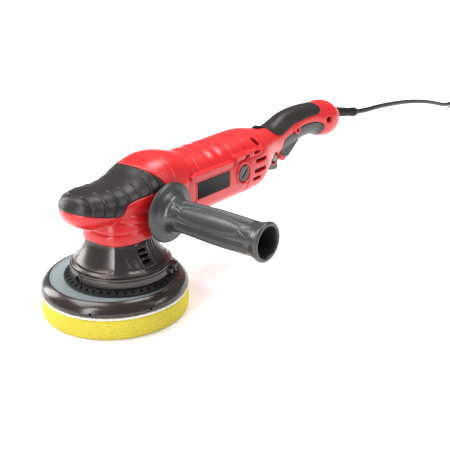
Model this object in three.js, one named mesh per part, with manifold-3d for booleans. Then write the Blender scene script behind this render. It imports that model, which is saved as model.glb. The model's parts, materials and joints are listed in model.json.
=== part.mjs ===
// Dual action polisher: a corded random-orbit machine with a bell-shaped head, a foam pad on an
// eccentric spindle, a screw-in side handle and a long rear handle.
//
// Millimetres. Origin on the spindle axis in the plane of the pad's working face.
// +Z up along the spindle, -Y towards the nose, +X towards the side handle.

import * as THREE from 'three';
import { mergeVertices } from 'three/addons/utils/BufferGeometryUtils.js';
import Module from 'manifold-3d';

const wasm = await Module();
wasm.setup();

// ---------------------------------------------------------------- driving dimensions

const GAP = 0.3;                    // clearance left between touching pieces

// pad and plate
const PAD_R = 75.4;                 // foam pad radius
const FOAM_H = 21.2;                // foam thickness
const ORBIT_OFFSET = 7.5;           // pad axis to spindle axis, half of the 15 mm throw
const ORBIT_TURN = -2.462;          // where the pad axis stands at rest, radians from +X
const PAD_X = ORBIT_OFFSET * Math.cos(ORBIT_TURN);
const PAD_Y = ORBIT_OFFSET * Math.sin(ORBIT_TURN);
const PLATE_Z = 23.6;               // underside of the backing plate
const PLATE_TOP = 37.2;             // top of the backing plate's rim
const DISC_R = 65.6;                // mounting disc on top of the backing plate

// drive train
const MOTOR_Z = 109.4;              // motor axis height, also the bevel gears' apex
const MODULE = 1.5;                 // bevel gear module at the large end
const PINION_TEETH = 8;
const CROWN_TEETH = 32;
const CROWN_R = MODULE * CROWN_TEETH / 2;
const PINION_R = MODULE * PINION_TEETH / 2;
const FACE_IN = 16.5;               // inner end of the gear faces, measured along Y
const TOOTH_UP = 0.78;              // tooth height above the pitch line
const TOOTH_DOWN = 1.7;             // tooth depth below the pitch line
const SPINDLE_R = 8;
const SHAFT_R = 4.9;

// housings
const FLAT_X = 34;                  // flat sides of the motor housing
const WALL = 2.6;
const HEAD_SEAM = 78;               // head cover meets motor housing
const REAR_SEAM = 171;              // motor housing meets rear handle
const SHROUD_Z = 80.5;              // top of the shroud, under the head cover's collar
const CLAMP_LOW = 42.4;             // lowest edge of the shroud and of the clamp ring round it
const SKIRT_Z = 37.8;               // lowest edge of the shroud's skirt ring
const CLAMP_SCREWS = [-1.7, 0.56];  // where the two clamp screws stand, radians from +X
const CLAMP_SCREW_Z = 46.4;
const GRIP_T = 3;                   // thickness of the soft overmoulds

// side handle, screwed into the head along +X
const HANDLE_Y = 29.7;
const HANDLE_Z = 103.7;
const HANDLE_X1 = 162;              // free end

// carbon brushes
const BRUSH_Y = 158;

// strain relief, leaving the tail and drooping a little
const TAIL_EXIT = [0, 406.4, 124.4];
const RELIEF_END = [0, 463.2, 113.4];

// cord
const CORD_R = 3.5;
const CORD_ROUTE = [
  [-0.1, 464.4, 113.2], [-0.6, 480, 111.2], [-3.1, 502, 108.2], [-8.3, 535.4, 104.2], [-14.6, 572.8, 99],
  [-21.8, 613.5, 92.6], [-29.8, 657.5, 85.2], [-38.5, 704.7, 76.7], [-47.8, 755.5, 66.4], [-57.6, 809.7, 54.7],
  [-67.9, 867.7, 41], [-77.5, 922, 27], [-85.5, 968, 15], [-91.2, 1003, 8], [-95.6, 1034, 4.7], [-98.4, 1060, 4.4],
  [-99.6, 1075, 4.4],
];
const COIL_AT = [-48, 1104];        // centre of the stored turns, on the floor
const COIL_IN = 27.4;               // the coil's hole
const COIL_OUT = 55.6;              // the coil's outside
const COIL_Z = [0.9, 15];           // the coil's bottom and top
const CORD_END_ROUTE = [[11, 1064, 11], [12, 1046, 10.4], [13.4, 1030, 9.8], [15, 1015, 9.6]];
const PLUG_AT = [17, 996, 9.6];     // middle of the plug's body
const PLUG_TURN = 0.1;              // the plug's heading away from -Y

// ---------------------------------------------------------------- materials

function finish(color, roughness, metalness = 0) {
  return new THREE.MeshStandardMaterial({ color, roughness, metalness });
}

const RED = finish(0xe0201c, 0.38);
const SOFT = finish(0x3b3536, 0.62);
const GRAPHITE = finish(0x55504f, 0.42);
const BLACK = finish(0x141415, 0.55);
const PLATE_SKIN = finish(0x463e3d, 0.35);
const DISC_GREY = finish(0x8a9ba3, 0.5);
const FOAM = finish(0xe8d63c, 0.95);
const LOOP = finish(0xe9e6dc, 0.95);
const HOOK = finish(0x2a2a2b, 0.9);
const STEEL = finish(0xa9acb0, 0.3, 1);
const DARK_STEEL = finish(0x5c5f63, 0.4, 1);
const CAST = finish(0xb4b6b8, 0.5, 1);
const COPPER = finish(0xb5673a, 0.4, 1);
const BRASS = finish(0xc7a24a, 0.35, 1);
const CARBON = finish(0x26272a, 0.8);
const LABEL = finish(0x2b2c2e, 0.3);

// ---------------------------------------------------------------- solids

/** Merge a geometry's shared vertices, drop empty triangles and face it outward. */
function welded(geometry) {
  const bare = geometry.clone();
  bare.deleteAttribute('normal');
  bare.deleteAttribute('uv');
  const merged = mergeVertices(bare, 1e-4);
  const place = merged.getAttribute('position');
  const source = merged.getIndex().array;
  const kept = [];
  let volume = 0;
  const [a, b, c] = [new THREE.Vector3(), new THREE.Vector3(), new THREE.Vector3()];
  for (let i = 0; i < source.length; i += 3) {
    const [p, q, r] = [source[i], source[i + 1], source[i + 2]];
    if (p === q || q === r || r === p) continue;
    kept.push(p, q, r);
    a.fromBufferAttribute(place, p);
    b.fromBufferAttribute(place, q);
    c.fromBufferAttribute(place, r);
    volume += a.dot(b.cross(c));
  }
  if (volume < 0) kept.reverse();
  merged.setIndex(kept);
  return merged;
}

/** Turn a closed geometry into a solid that can be cut and joined. */
function solid(geometry) {
  const closed = welded(geometry);
  return new wasm.Manifold(new wasm.Mesh({
    numProp: 3,
    vertProperties: Float32Array.from(closed.getAttribute('position').array),
    triVerts: Uint32Array.from(closed.getIndex().array),
  }));
}

/** Turn a solid back into a geometry. */
function shape(body) {
  const mesh = body.getMesh();
  const geometry = new THREE.BufferGeometry();
  geometry.setAttribute('position', new THREE.BufferAttribute(Float32Array.from(mesh.vertProperties), 3));
  geometry.setIndex(new THREE.BufferAttribute(Uint32Array.from(mesh.triVerts), 1));
  return geometry;
}

/** Cut a list of tools out of a body. */
function cut(body, ...tools) {
  return tools.reduce((left, tool) => left.subtract(tool), body);
}

/** Join a list of bodies. */
function join(...bodies) {
  return bodies.reduce((whole, body) => whole.add(body));
}

/** A box between two corners. */
function block(x0, x1, y0, y1, z0, z1) {
  const box = new THREE.BoxGeometry(x1 - x0, y1 - y0, z1 - z0);
  return solid(box.translate((x0 + x1) / 2, (y0 + y1) / 2, (z0 + z1) / 2));
}

const TURN = {
  x: (geometry) => geometry.rotateZ(-Math.PI / 2),
  y: (geometry) => geometry,
  z: (geometry) => geometry.rotateX(Math.PI / 2),
};

/** A turned body: profile points are [radius, height] along the named axis, placed at a point. */
function turned(profile, axis, at = [0, 0, 0], around = 20) {
  const points = profile.map(([r, h]) => new THREE.Vector2(r, h));
  return solid(TURN[axis](new THREE.LatheGeometry(points, around)).translate(...at));
}

/** A round rod from start to end along the named axis. */
function rod(radius, start, end, axis, at = [0, 0, 0], around = 16) {
  return turned([[0, start], [radius, start], [radius, end], [0, end]], axis, at, around);
}

/** A round ring from start to end along the named axis. */
function ring(outer, inner, start, end, axis, at = [0, 0, 0], around = 20) {
  return turned([[inner, start], [outer, start], [outer, end], [inner, end], [inner, start]], axis, at, around);
}

/** A side-view outline of [y, z] points, extruded across X from x0 to x1. */
function slab(outline, x0, x1) {
  const flat = new THREE.Shape(outline.map(([y, z]) => new THREE.Vector2(y, z)));
  const geometry = new THREE.ExtrudeGeometry(flat, { depth: x1 - x0, bevelEnabled: false });
  const basis = new THREE.Matrix4().makeBasis(
    new THREE.Vector3(0, 1, 0), new THREE.Vector3(0, 0, 1), new THREE.Vector3(1, 0, 0));
  return solid(geometry.applyMatrix4(basis).translate(x0, 0, 0));
}

/**
 * A closed hull swept along Y. A station is [y, half width, lowest z, highest z, squareness], where a
 * squareness of 2 is an ellipse, and `inset` moves the skin inwards.
 */
function hull(stations, { inset = 0, around = 20 } = {}) {
  const rows = stations.length - 1;
  const geometry = new THREE.CylinderGeometry(1, 1, 1, around, rows);
  const place = geometry.getAttribute('position');
  for (let i = 0; i < place.count; i += 1) {
    const [level, width, low, high, power] = stations[Math.round((place.getY(i) + 0.5) * rows)];
    const angle = Math.atan2(place.getZ(i), place.getX(i));
    const reach = Math.hypot(place.getX(i), place.getZ(i)) > 0.5 ? 1 : 0;
    const across = Math.sign(Math.cos(angle)) * Math.abs(Math.cos(angle)) ** (2 / power) * reach;
    const upward = Math.sign(Math.sin(angle)) * Math.abs(Math.sin(angle)) ** (2 / power) * reach;
    place.setXYZ(i, across * (width - inset), level, (low + high) / 2 + upward * ((high - low) / 2 - inset));
  }
  return solid(geometry);
}

/** The same hull standing on Z. A station is [z, half width, front y, back y, squareness]. */
function tower(stations, options) {
  const lying = stations.map(([z, width, front, back, power]) => [z, width, -back, -front, power]);
  return solid(shape(hull(lying, options)).rotateX(Math.PI / 2));
}

/** Mirror a body to the other side of the machine. */
function mirrored(body) {
  return solid(shape(body).scale(-1, 1, 1));
}

// ---------------------------------------------------------------- the object

const polisher = new THREE.Group();

/** Add a named piece to the machine. */
function add(name, material, body) {
  const mesh = new THREE.Mesh(shape(body), material);
  mesh.name = name;
  polisher.add(mesh);
  return mesh;
}

// ---------------------------------------------------------------- pad and backing plate

const PAD_AT = [PAD_X, PAD_Y, 0];

function buildPad() {
  add('foam_pad', FOAM, turned([
    [0, 0], [PAD_R - 2.5, 0], [PAD_R - 0.7, 1.2], [PAD_R, 4], [PAD_R, FOAM_H - 2], [PAD_R - 0.6, FOAM_H], [0, FOAM_H],
  ], 'z', PAD_AT, 36));
  add('pad_loop_layer', LOOP, rod(PAD_R - 0.2, FOAM_H + GAP, PLATE_Z - GAP, 'z', PAD_AT, 36));
}

function buildBackingPlate() {
  add('backing_plate', PLATE_SKIN, turned([
    [9, PLATE_Z], [74.6, PLATE_Z], [75.6, PLATE_Z + 1.4], [75.2, PLATE_Z + 4.6], [72.4, PLATE_Z + 10],
    [67.6, PLATE_TOP], [DISC_R + GAP, PLATE_TOP], [DISC_R + GAP, 34.4], [6, 34.4], [6, PLATE_Z + 4],
    [9, PLATE_Z + 4], [9, PLATE_Z],
  ], 'z', PAD_AT, 36));
  add('mounting_disc', DISC_GREY, ring(DISC_R, 6, 34.7, 37, 'z', PAD_AT, 36));
  add('plate_bolt', DARK_STEEL, turned([
    [0, PLATE_Z + 0.4], [7.4, PLATE_Z + 0.4], [7.4, PLATE_Z + 3.6], [4, PLATE_Z + 3.6], [4, 48], [0, 48],
  ], 'z', PAD_AT, 16));
  // stub shaft of the pad, held in the eccentric's bearing
  add('pad_stub_shaft', STEEL, turned([
    [4.3, 37.3], [14, 37.3], [14, 40.5], [8.6, 43], [6.2, 46.5], [6.2, 59.6], [0, 59.6], [0, 48.6], [4.3, 48.6], [4.3, 37.3],
  ], 'z', PAD_AT, 20));
}

// ---------------------------------------------------------------- spindle and eccentric

function buildSpindle() {
  const seat = rod(13.2, 44, 60, 'z', PAD_AT);
  const disc = turned([[0, 46.4], [24, 46.4], [25, 47.4], [25, 58], [15, 61.6], [0, 61.6]], 'z', [0, 0, 0]);
  const counterweight = cut(
    rod(39.6, 50, 57.6, 'z', [0, 0, 0]),
    solid(shape(block(-60, 60, -60, 4, 40, 70)).rotateZ(ORBIT_TURN + Math.PI / 2 + Math.PI)),
    rod(26.6, 40, 70, 'z', [0, 0, 0]),
  );
  add('eccentric_carrier', DARK_STEEL, cut(disc, seat));
  add('counterweight', DARK_STEEL, counterweight);
  add('pad_bearing', STEEL, ring(12.9, 6.5, 47.6, 59.6, 'z', PAD_AT));
  add('spindle', STEEL, turned([
    [0, 61.9], [11, 61.9], [11, 67.4], [SPINDLE_R, 68], [SPINDLE_R, 99.6], [0, 99.6],
  ], 'z', [0, 0, 0]));
  add('spindle_bearing_lower', STEEL, ring(16, SPINDLE_R + GAP, 68.6, 77.6, 'z', [0, 0, 0]));
  add('spindle_bearing_upper', STEEL, ring(14, SPINDLE_R + GAP, 84.6, 91.6, 'z', [0, 0, 0]));
}

/** Height of the crown gear's toothed face at an angle, for the large end of the teeth. */
function crownHeight(step) {
  return [TOOTH_UP, TOOTH_UP, -TOOTH_DOWN, -TOOTH_DOWN][step % 4] - PINION_R;
}

function buildGears() {
  // crown gear: four steps around for each tooth, every flank converging on the apex
  const steps = CROWN_TEETH * 4;
  const profile = [[SPINDLE_R + GAP, -14.4], [CROWN_R, -13.4], [CROWN_R, -8], [FACE_IN, -8]];
  const points = [...profile, profile[0]].map(([r, h]) => new THREE.Vector2(r, h));
  const crown = new THREE.LatheGeometry(points, steps);
  const place = crown.getAttribute('position');
  const toothShare = [0.16, 0.42];  // share of a tooth pitch taken by the tip and by the foot
  const edges = [-toothShare[0] / 2, toothShare[0] / 2, toothShare[1] / 2, 1 - toothShare[1] / 2];
  for (let i = 0; i < place.count; i += 1) {
    const step = Math.floor(i / points.length) % steps;
    const row = i % points.length;
    const angle = (Math.floor(step / 4) + edges[step % 4]) * 2 * Math.PI / CROWN_TEETH;
    const reach = Math.hypot(place.getX(i), place.getZ(i));
    const height = row === 2 || row === 3 ? crownHeight(step) * reach / CROWN_R : place.getY(i);
    place.setXYZ(i, reach * Math.sin(angle), height, reach * Math.cos(angle));
  }
  add('crown_gear', DARK_STEEL, solid(crown.rotateX(Math.PI / 2).rotateZ(Math.PI / CROWN_TEETH)
    .translate(0, 0, MOTOR_Z)));

  // pinion: the same scheme on a slim cone, cut short of the apex
  const outline = new THREE.Shape();
  for (let tooth = 0; tooth < PINION_TEETH; tooth += 1) {
    const marks = [[-0.25, -TOOTH_DOWN], [-0.09, TOOTH_UP], [0.09, TOOTH_UP], [0.25, -TOOTH_DOWN]];
    for (const [share, height] of marks) {
      const angle = (tooth + share) * 2 * Math.PI / PINION_TEETH - Math.PI / 2;
      const reach = PINION_R + height;
      if (tooth === 0 && share === -0.25) outline.moveTo(reach * Math.cos(angle), reach * Math.sin(angle));
      else outline.lineTo(reach * Math.cos(angle), reach * Math.sin(angle));
    }
  }
  const pinion = new THREE.ExtrudeGeometry(outline, { depth: CROWN_R + GAP - FACE_IN, bevelEnabled: false });
  const teeth = pinion.getAttribute('position');
  for (let i = 0; i < teeth.count; i += 1) {
    const along = FACE_IN + teeth.getZ(i);
    teeth.setXYZ(i, teeth.getX(i) * along / CROWN_R, teeth.getY(i) * along / CROWN_R, along);
  }
  const facing = solid(pinion.rotateX(-Math.PI / 2).translate(0, 0, MOTOR_Z));
  add('pinion', DARK_STEEL, join(facing, rod(7, CROWN_R + GAP - 0.01, 31, 'y', [0, 0, MOTOR_Z], 16)));
}

// ---------------------------------------------------------------- motor

const MOTOR_AT = [0, 0, MOTOR_Z];

function buildRotor() {
  add('motor_shaft', STEEL, rod(SHAFT_R, 31.3, 190, 'y', MOTOR_AT));
  const slots = [];
  for (let i = 0; i < 10; i += 1) {
    const slot = shape(block(-1.1, 1.1, 70, 135, 15, 24)).rotateY(i * Math.PI / 5).translate(...MOTOR_AT);
    slots.push(solid(slot));
  }
  add('armature_core', DARK_STEEL, cut(ring(21, SHAFT_R + GAP, 80.5, 130, 'y', MOTOR_AT), ...slots));
  const ends = [['front', 71.6, 80.2], ['rear', 130.3, 143]];
  for (const [end, start, stop] of ends) {
    add(`armature_winding_${end}`, COPPER, turned([
      [SHAFT_R + GAP, start], [15, start], [18.5, start + 2.5], [18.5, stop - 2.5], [17, stop], [SHAFT_R + GAP, stop],
      [SHAFT_R + GAP, start],
    ], 'y', MOTOR_AT));
  }
  add('commutator', BRASS, ring(12, SHAFT_R + GAP, 149, 167, 'y', MOTOR_AT));
  const hub = ring(12, SHAFT_R + GAP, 61.6, 70.6, 'y', MOTOR_AT);
  const disc = ring(28, SHAFT_R + GAP, 68.8, 70.6, 'y', MOTOR_AT);
  const blades = [];
  for (let i = 0; i < 9; i += 1) {
    const blade = shape(block(-0.9, 0.9, 62, 69.6, 10, 27.4)).rotateY(i * 2 * Math.PI / 9).translate(...MOTOR_AT);
    blades.push(solid(blade));
  }
  add('cooling_fan', BLACK, join(hub, disc, ...blades));
}

function buildStator() {
  add('motor_bearing_front', STEEL, ring(13, SHAFT_R + GAP, 38, 46, 'y', MOTOR_AT));
  add('motor_bearing_rear', STEEL, ring(11, SHAFT_R + GAP, 177, 184, 'y', MOTOR_AT));
  add('stator_core', DARK_STEEL, cut(ring(30.6, 22, 81, 129, 'y', MOTOR_AT),
    block(-60, 60, 0, 200, MOTOR_Z + 27, MOTOR_Z + 60), block(-60, 60, 0, 200, MOTOR_Z - 60, MOTOR_Z - 27)));
  const coil = cut(ring(30, 22.4, 129.3, 139, 'y', MOTOR_AT), block(-60, 60, 100, 200, MOTOR_Z - 9, MOTOR_Z + 9));
  const upper = block(-60, 60, 100, 200, MOTOR_Z, MOTOR_Z + 60);
  add('field_coil_upper', COPPER, coil.intersect(upper));
  add('field_coil_lower', COPPER, cut(coil, upper));
  for (const [side, sign] of [['left', 1], ['right', -1]]) {
    const holder = cut(
      block(14.5, 33, BRUSH_Y - 6, BRUSH_Y + 6, MOTOR_Z - 5, MOTOR_Z + 5),
      block(10, 40, BRUSH_Y - 4, BRUSH_Y + 4, MOTOR_Z - 3.3, MOTOR_Z + 3.3),
    );
    const brush = block(12.4, 27, BRUSH_Y - 3.7, BRUSH_Y + 3.7, MOTOR_Z - 3, MOTOR_Z + 3);
    const slot = block(FLAT_X + 1.2, FLAT_X + 4, BRUSH_Y - 6.5, BRUSH_Y + 6.5, MOTOR_Z - 0.8, MOTOR_Z + 0.8);
    const cap = cut(turned([[0, 33.3], [9, 33.3], [9, 35.4], [8.2, 36.2], [0, 36.2]], 'x', [0, BRUSH_Y, MOTOR_Z], 24), slot);
    for (const [name, material, body] of [
      ['brush_holder', BRASS, holder], ['carbon_brush', CARBON, brush], ['brush_cap', GRAPHITE, cap],
    ]) add(`${name}_${side}`, material, sign > 0 ? body : mirrored(body));
  }
}

// ---------------------------------------------------------------- gear case and head

const HEAD = [
  [-64, 9, 114, 127, 2.2], [-62.4, 15, 110, 130.5, 2.2], [-58.4, 20.5, 106, 134.6, 2.3], [-50, 25, 101.6, 137.6, 2.4],
  [-38, 28, 100, 138.4, 2.3], [-22, 29.5, 99, 137.8, 2.2], [-8, 31.2, 97, 138.4, 2.2], [6, 33.2, 94, 142.4, 2.15],
  [20, 34.8, 90, 149.6, 2.15], [38, 35.5, 85, 154.8, 2.2], [58, 35.6, 80, 153.6, 2.25], [HEAD_SEAM, 35.6, 74.6, 148, 2.3],
];

const COLLAR = [
  [80.8, 34.2, -34.4, 36.4, 2.3], [83, 34.7, -34.8, 37, 2.3], [92, 33.6, -33.4, 39, 2.35], [102, 31.8, -30.6, 44, 2.5],
  [118, 29.5, -24, 50, 3],
];

// side view of the soft grip on the nose: along the lip, up the cheek and back under the cowl
const GRIP_SIDE = [
  [-90, 124], [-60, 122], [-45, 117.4], [-26, 112.4], [-20, 112], [-17, 121], [-11, 123.6], [16, 125.4],
  [35, 127.6], [26, 140], [14.5, 149], [5.5, 154], [0, 175], [-90, 175],
];

function grownOutline(outline, by) {
  const middle = outline.reduce((sum, [y, z]) => [sum[0] + y / outline.length, sum[1] + z / outline.length], [0, 0]);
  return outline.map(([y, z]) => {
    const reach = Math.hypot(y - middle[0], z - middle[1]);
    return [y + (y - middle[0]) / reach * by, z + (z - middle[1]) / reach * by];
  });
}

const BOSS_AT = [0, HANDLE_Y, HANDLE_Z];

function buildHead() {
  const outer = hull(HEAD, { around: 24 });
  const inner = hull(HEAD.slice(1), { inset: WALL + 0.4, around: 14 });
  const collar = tower(COLLAR);
  const neck = tower([
    [60, 30.6, -30.6, 32.8, 2.3], [92, 30, -30, 36, 2.35], [106, 28.6, -28, 38, 2.5], [119, 28.6, -26.6, 40, 2.6],
  ], { around: 20 });
  const tunnel = hull([[60, 32.6, 78, 142, 2.3], [HEAD_SEAM + 1, 32.6, 78, 142, 2.3]], { around: 14 });
  const bosses = rod(11.2, -60, 60, 'x', BOSS_AT);
  const behind = block(-60, 60, HEAD_SEAM, 200, 0, 200);
  const gripRoom = slab(grownOutline(GRIP_SIDE, GAP), -60, 60);
  const underGrip = hull(HEAD, { inset: GRIP_T + GAP });
  add('head_cover', RED, cut(join(outer, collar), inner, tunnel, neck, bosses, behind, cut(gripRoom, underGrip)));
  add('nose_grip', SOFT, cut(outer.intersect(slab(GRIP_SIDE, -60, 60)), hull(HEAD, { inset: GRIP_T })));
}

function buildGearCase() {
  const outer = tower([
    [62.6, 21, -21, 21, 2], [79, 21, -21, 21, 2], [82.6, 28, -28, 29, 2.2], [100, 27.8, -27.6, 31, 2.25],
    [112, 27.2, -26.8, 33, 2.3], [122, 25, -24, 33, 2.3],
  ], { around: 20 });
  const room = tower([[95.2, 25.4, -25.4, 26.4, 2], [115, 24.6, -24.4, 28, 2.1], [119, 22, -21, 28, 2.1]], { around: 16 });
  const snout = rod(16, 30, 49, 'y', MOTOR_AT);
  const bores = [
    rod(16.3, 60, 77.9, 'z'), rod(12, 50, 100, 'z'),
    rod(14.3, 84.3, 96, 'z'), rod(13.3, 37.7, 60, 'y', MOTOR_AT), rod(8, 20, 50, 'y', MOTOR_AT),
  ];
  const stubs = rod(10.8, -37.4, 37.4, 'x', BOSS_AT);
  const threads = [
    rod(4.3, 24, 60, 'x', BOSS_AT, 10), rod(4.3, -60, -24, 'x', BOSS_AT, 10),
  ];
  add('gear_case', CAST, cut(join(outer, snout, stubs), room, ...bores, ...threads));
}

// ---------------------------------------------------------------- shroud

const SHROUD = [
  [CLAMP_LOW, 49, -49, 49, 2], [53, 49, -49, 49, 2], [53.6, 50.4, -50.4, 50.4, 2], [56, 47.6, -47.6, 47.6, 2],
  [60, 43.6, -43.6, 43.6, 2.05], [65, 39.8, -39.8, 40, 2.1], [70, 36.8, -36.8, 37.6, 2.2],
  [76, 34.2, -34.2, 35.6, 2.25], [SHROUD_Z, 32.8, -33, 35, 2.3],
];

function buildShroud() {
  const inner = tower([
    [40, 46.4, -46.4, 46.4, 2], [51, 46.4, -46.4, 46.4, 2], [56, 43.2, -43.2, 43.2, 2], [61, 38.4, -38.4, 38.4, 2],
    [66, 29.4, -29.4, 30, 2.1], [90, 29, -29, 30, 2.3],
  ], { around: 20 });
  const louvres = [];
  for (let i = 0; i < 3; i += 1) {
    const z = 58.6 + i * 4.6;
    louvres.push(block(33, 60, -11, -1.5, z, z + 2.4), block(-60, -33, -11, -1.5, z, z + 2.4));
  }
  add('shroud', GRAPHITE, cut(tower(SHROUD, { around: 28 }), inner, ...louvres));
  const band = turned([
    [49.4, 52.9], [51.4, 52.9], [52, 52.3], [52, CLAMP_LOW + 0.6], [51.4, CLAMP_LOW], [49.4, CLAMP_LOW], [49.4, 52.9],
  ], 'z', [0, 0, 0], 36);
  const radial = (radius, start, end, angle) => solid(shape(rod(radius, start, end, 'x', [0, 0, CLAMP_SCREW_Z], 8))
    .rotateZ(angle));
  add('shroud_clamp_ring', GRAPHITE, cut(band, ...CLAMP_SCREWS.map((angle) => radial(2.3, 45, 60, angle))));
  add('shroud_skirt', BLACK, turned([
    [46.8, CLAMP_LOW - GAP], [50.4, CLAMP_LOW - GAP], [58.4, SKIRT_Z + 1.4], [58.4, SKIRT_Z], [46.8, SKIRT_Z],
    [46.8, CLAMP_LOW - GAP],
  ], 'z', [0, 0, 0], 36));
  CLAMP_SCREWS.forEach((angle, i) => {
    add(`shroud_screw_${i + 1}`, DARK_STEEL, radial(2, 49.4, 53.8, angle));
  });
}

// ---------------------------------------------------------------- motor housing

const BODY = [
  [HEAD_SEAM + GAP, 35.3, 74.4, 146.6, 2.35], [92, 35.2, 74, 145, 2.35], [120, 35.2, 73.9, 144.9, 2.35],
  [150, 35.2, 73.9, 144.9, 2.35], [REAR_SEAM, 35.2, 73.9, 145.4, 2.35],
];

const REAR = [
  [REAR_SEAM + GAP, 35.4, 73.8, 145.4, 2.35], [186, 35.2, 74, 145.4, 2.4], [200, 34.4, 75.4, 144.8, 2.5],
  [210, 32.6, 78.5, 143.4, 2.4], [220, 29, 84, 141.6, 2.2], [230, 25, 89, 140.2, 2.1], [240, 21.4, 92, 139.4, 2],
  [250, 18.4, 95, 140, 2], [262, 16.8, 98, 143.8, 2], [276, 16.2, 101, 148.4, 2], [294, 16.4, 105, 150.8, 2],
  [312, 16.8, 108.6, 151.2, 2], [330, 17, 109.4, 150.4, 2], [344, 17.6, 107.8, 149.4, 2], [353, 19.2, 104.4, 149, 2],
  [361, 21.4, 100.8, 149.2, 2], [369, 22.6, 98.8, 148, 2], [378, 21.8, 100, 144.8, 2], [387, 18.4, 104, 140.4, 2],
  [395, 13.8, 110, 136.4, 2], [402, 9.4, 115.4, 132.6, 2], [406, 7.4, 117, 131.8, 2],
];

// side view of the hooked guard behind the trigger, part of the rear handle
const GUARD_SIDE = [
  [262, 112], [264.5, 99], [268, 92.6], [272.6, 89.8], [278, 91.6], [284, 95], [291, 99.6], [299, 105.4], [308, 112],
  [290, 122], [266, 122],
];

const RECESS = 0.9;                 // depth of the label's recess

function buildMotorHousing() {
  const outer = hull(BODY, { around: 24 });
  const inner = hull([[60, 32.4, 77, 142, 2.3], [190, 32.4, 77, 142, 2.3]], { around: 16 });
  const label = block(FLAT_X - RECESS, 60, 80, 135, MOTOR_Z - 9.8, MOTOR_Z + 9.8);
  const caps = rod(9.3, -60, 60, 'x', [0, BRUSH_Y, MOTOR_Z]);
  const sides = [block(FLAT_X + 1, 60, 60, 200, 40, 180), block(-60, -FLAT_X - 1, 60, 200, 40, 180)];
  add('motor_housing', RED, cut(outer, inner, label, caps, ...sides));
  add('label_plate', LABEL, block(FLAT_X - RECESS + GAP, FLAT_X + 0.4, 80.6, 134.4, MOTOR_Z - 9.2, MOTOR_Z + 9.2));
}

// ---------------------------------------------------------------- rear handle

const TOP_GRIP_SIDE = [
  [238, 180], [238, 140], [243, 133.4], [250, 129], [261, 126.6], [274, 131.2], [287, 135.2], [302, 136.8], [318, 137.4],
  [336, 136.8], [345, 138], [349, 142], [347, 147.6], [340, 152], [336, 180],
];

const LOW_GRIP_SIDE = [
  [264.5, 99.6], [276, 96.4], [300, 86], [352, 96], [355, 112], [354, 118], [350, 123], [338, 127.8], [322, 129.6],
  [302, 129], [288, 125.4], [274, 122.2], [264, 119.6],
];

const TRIGGER_SIDE = [
  [216, 106], [212.6, 102], [214, 97], [222, 91], [240, 86], [262, 81.6], [264.4, 84], [263, 91], [258.6, 97], [257, 104],
  [250, 107],
];
const TRIGGER_HALF = 7;

const LOCK_AT = [0, 239.5, 104];
const DIAL_AT = [0, 229, 132.2];
const DIAL_R = 10.4;
const HANDLE_SCREWS = [[360, 126.6], [291, 126.8]];

function buildRearHandle() {
  const outer = join(hull(REAR), slab(GUARD_SIDE, -8.6, 8.6));
  const inner = join(
    hull(REAR.slice(1, 19).filter((_, i) => i % 2 === 0), { inset: WALL + GRIP_T, around: 12 }),
    hull([[150, 32.6, 77, 142, 2.3], [204, 30.6, 79.8, 141, 2.2]], { around: 12 }),
    rod(7.6, 380, 440, 'y', [0, 0, TAIL_EXIT[2] - 1.6], 16),
  );
  const under = join(hull(REAR, { inset: GRIP_T }), slab(GUARD_SIDE, -8.6 + GRIP_T, 8.6 - GRIP_T));
  const gripRoom = join(
    slab(grownOutline(TOP_GRIP_SIDE, GAP), -60, 60), slab(grownOutline(LOW_GRIP_SIDE, GAP), -60, 60));
  const triggerRoom = block(-TRIGGER_HALF - 0.6, TRIGGER_HALF + 0.6, 208, 263.6, 60, 112);
  const dialRoom = block(-4.6, 4.6, 217.6, 240.4, 118, 150);
  const lockRoom = rod(7, 8, 60, 'x', LOCK_AT, 16);
  const screwHoles = HANDLE_SCREWS.map(([y, z]) => rod(2.9, 0.5, 60, 'x', [0, y, z], 10));
  const vents = [];
  for (const [z, from, to] of [[115, 182, 202], [105, 181, 201], [95, 180, 192.5]]) {
    vents.push(block(26, 60, from, to, z - 1.4, z + 1.4), block(-60, -26, from, to, z - 1.4, z + 1.4));
  }
  const shell = cut(join(cut(outer, gripRoom), under), inner, triggerRoom, dialRoom, lockRoom, ...screwHoles, ...vents);
  add('rear_handle_left', RED, shell.intersect(block(GAP / 2, 80, 100, 500, 0, 200)));
  add('rear_handle_right', RED, shell.intersect(block(-80, -GAP / 2, 100, 500, 0, 200)));
  const clear = join(
    hull(REAR, { inset: GRIP_T - GAP }),
    slab(grownOutline(GUARD_SIDE, GAP), -8.6 + GRIP_T - GAP, 8.6 - GRIP_T + GAP),
  );
  add('top_grip', SOFT, cut(outer.intersect(slab(TOP_GRIP_SIDE, -60, 60)), clear, dialRoom));
  add('lower_grip', SOFT, cut(outer.intersect(slab(LOW_GRIP_SIDE, -60, 60)), clear, triggerRoom));
  HANDLE_SCREWS.forEach(([y, z], i) => {
    add(`handle_screw_${i + 1}`, DARK_STEEL, rod(2.5, 1, 10.6, 'x', [0, y, z], 10));
  });
}

function buildControls() {
  add('trigger', SOFT, slab(TRIGGER_SIDE, -TRIGGER_HALF, TRIGGER_HALF));
  add('lock_sleeve', BLACK, ring(6.7, 4.9, 9.4, 17, 'x', LOCK_AT, 16));
  add('lock_button', GRAPHITE, turned([[0, 11], [4.5, 11], [4.5, 19.6], [3.7, 20.6], [0, 21]], 'x', LOCK_AT, 16));
  add('speed_dial', BLACK, rod(DIAL_R, -3.8, 3.8, 'x', DIAL_AT, 20));
  add('power_switch', BLACK, block(-8, 8, 245, 282, 115, 130));
}

// ---------------------------------------------------------------- side handle

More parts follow.
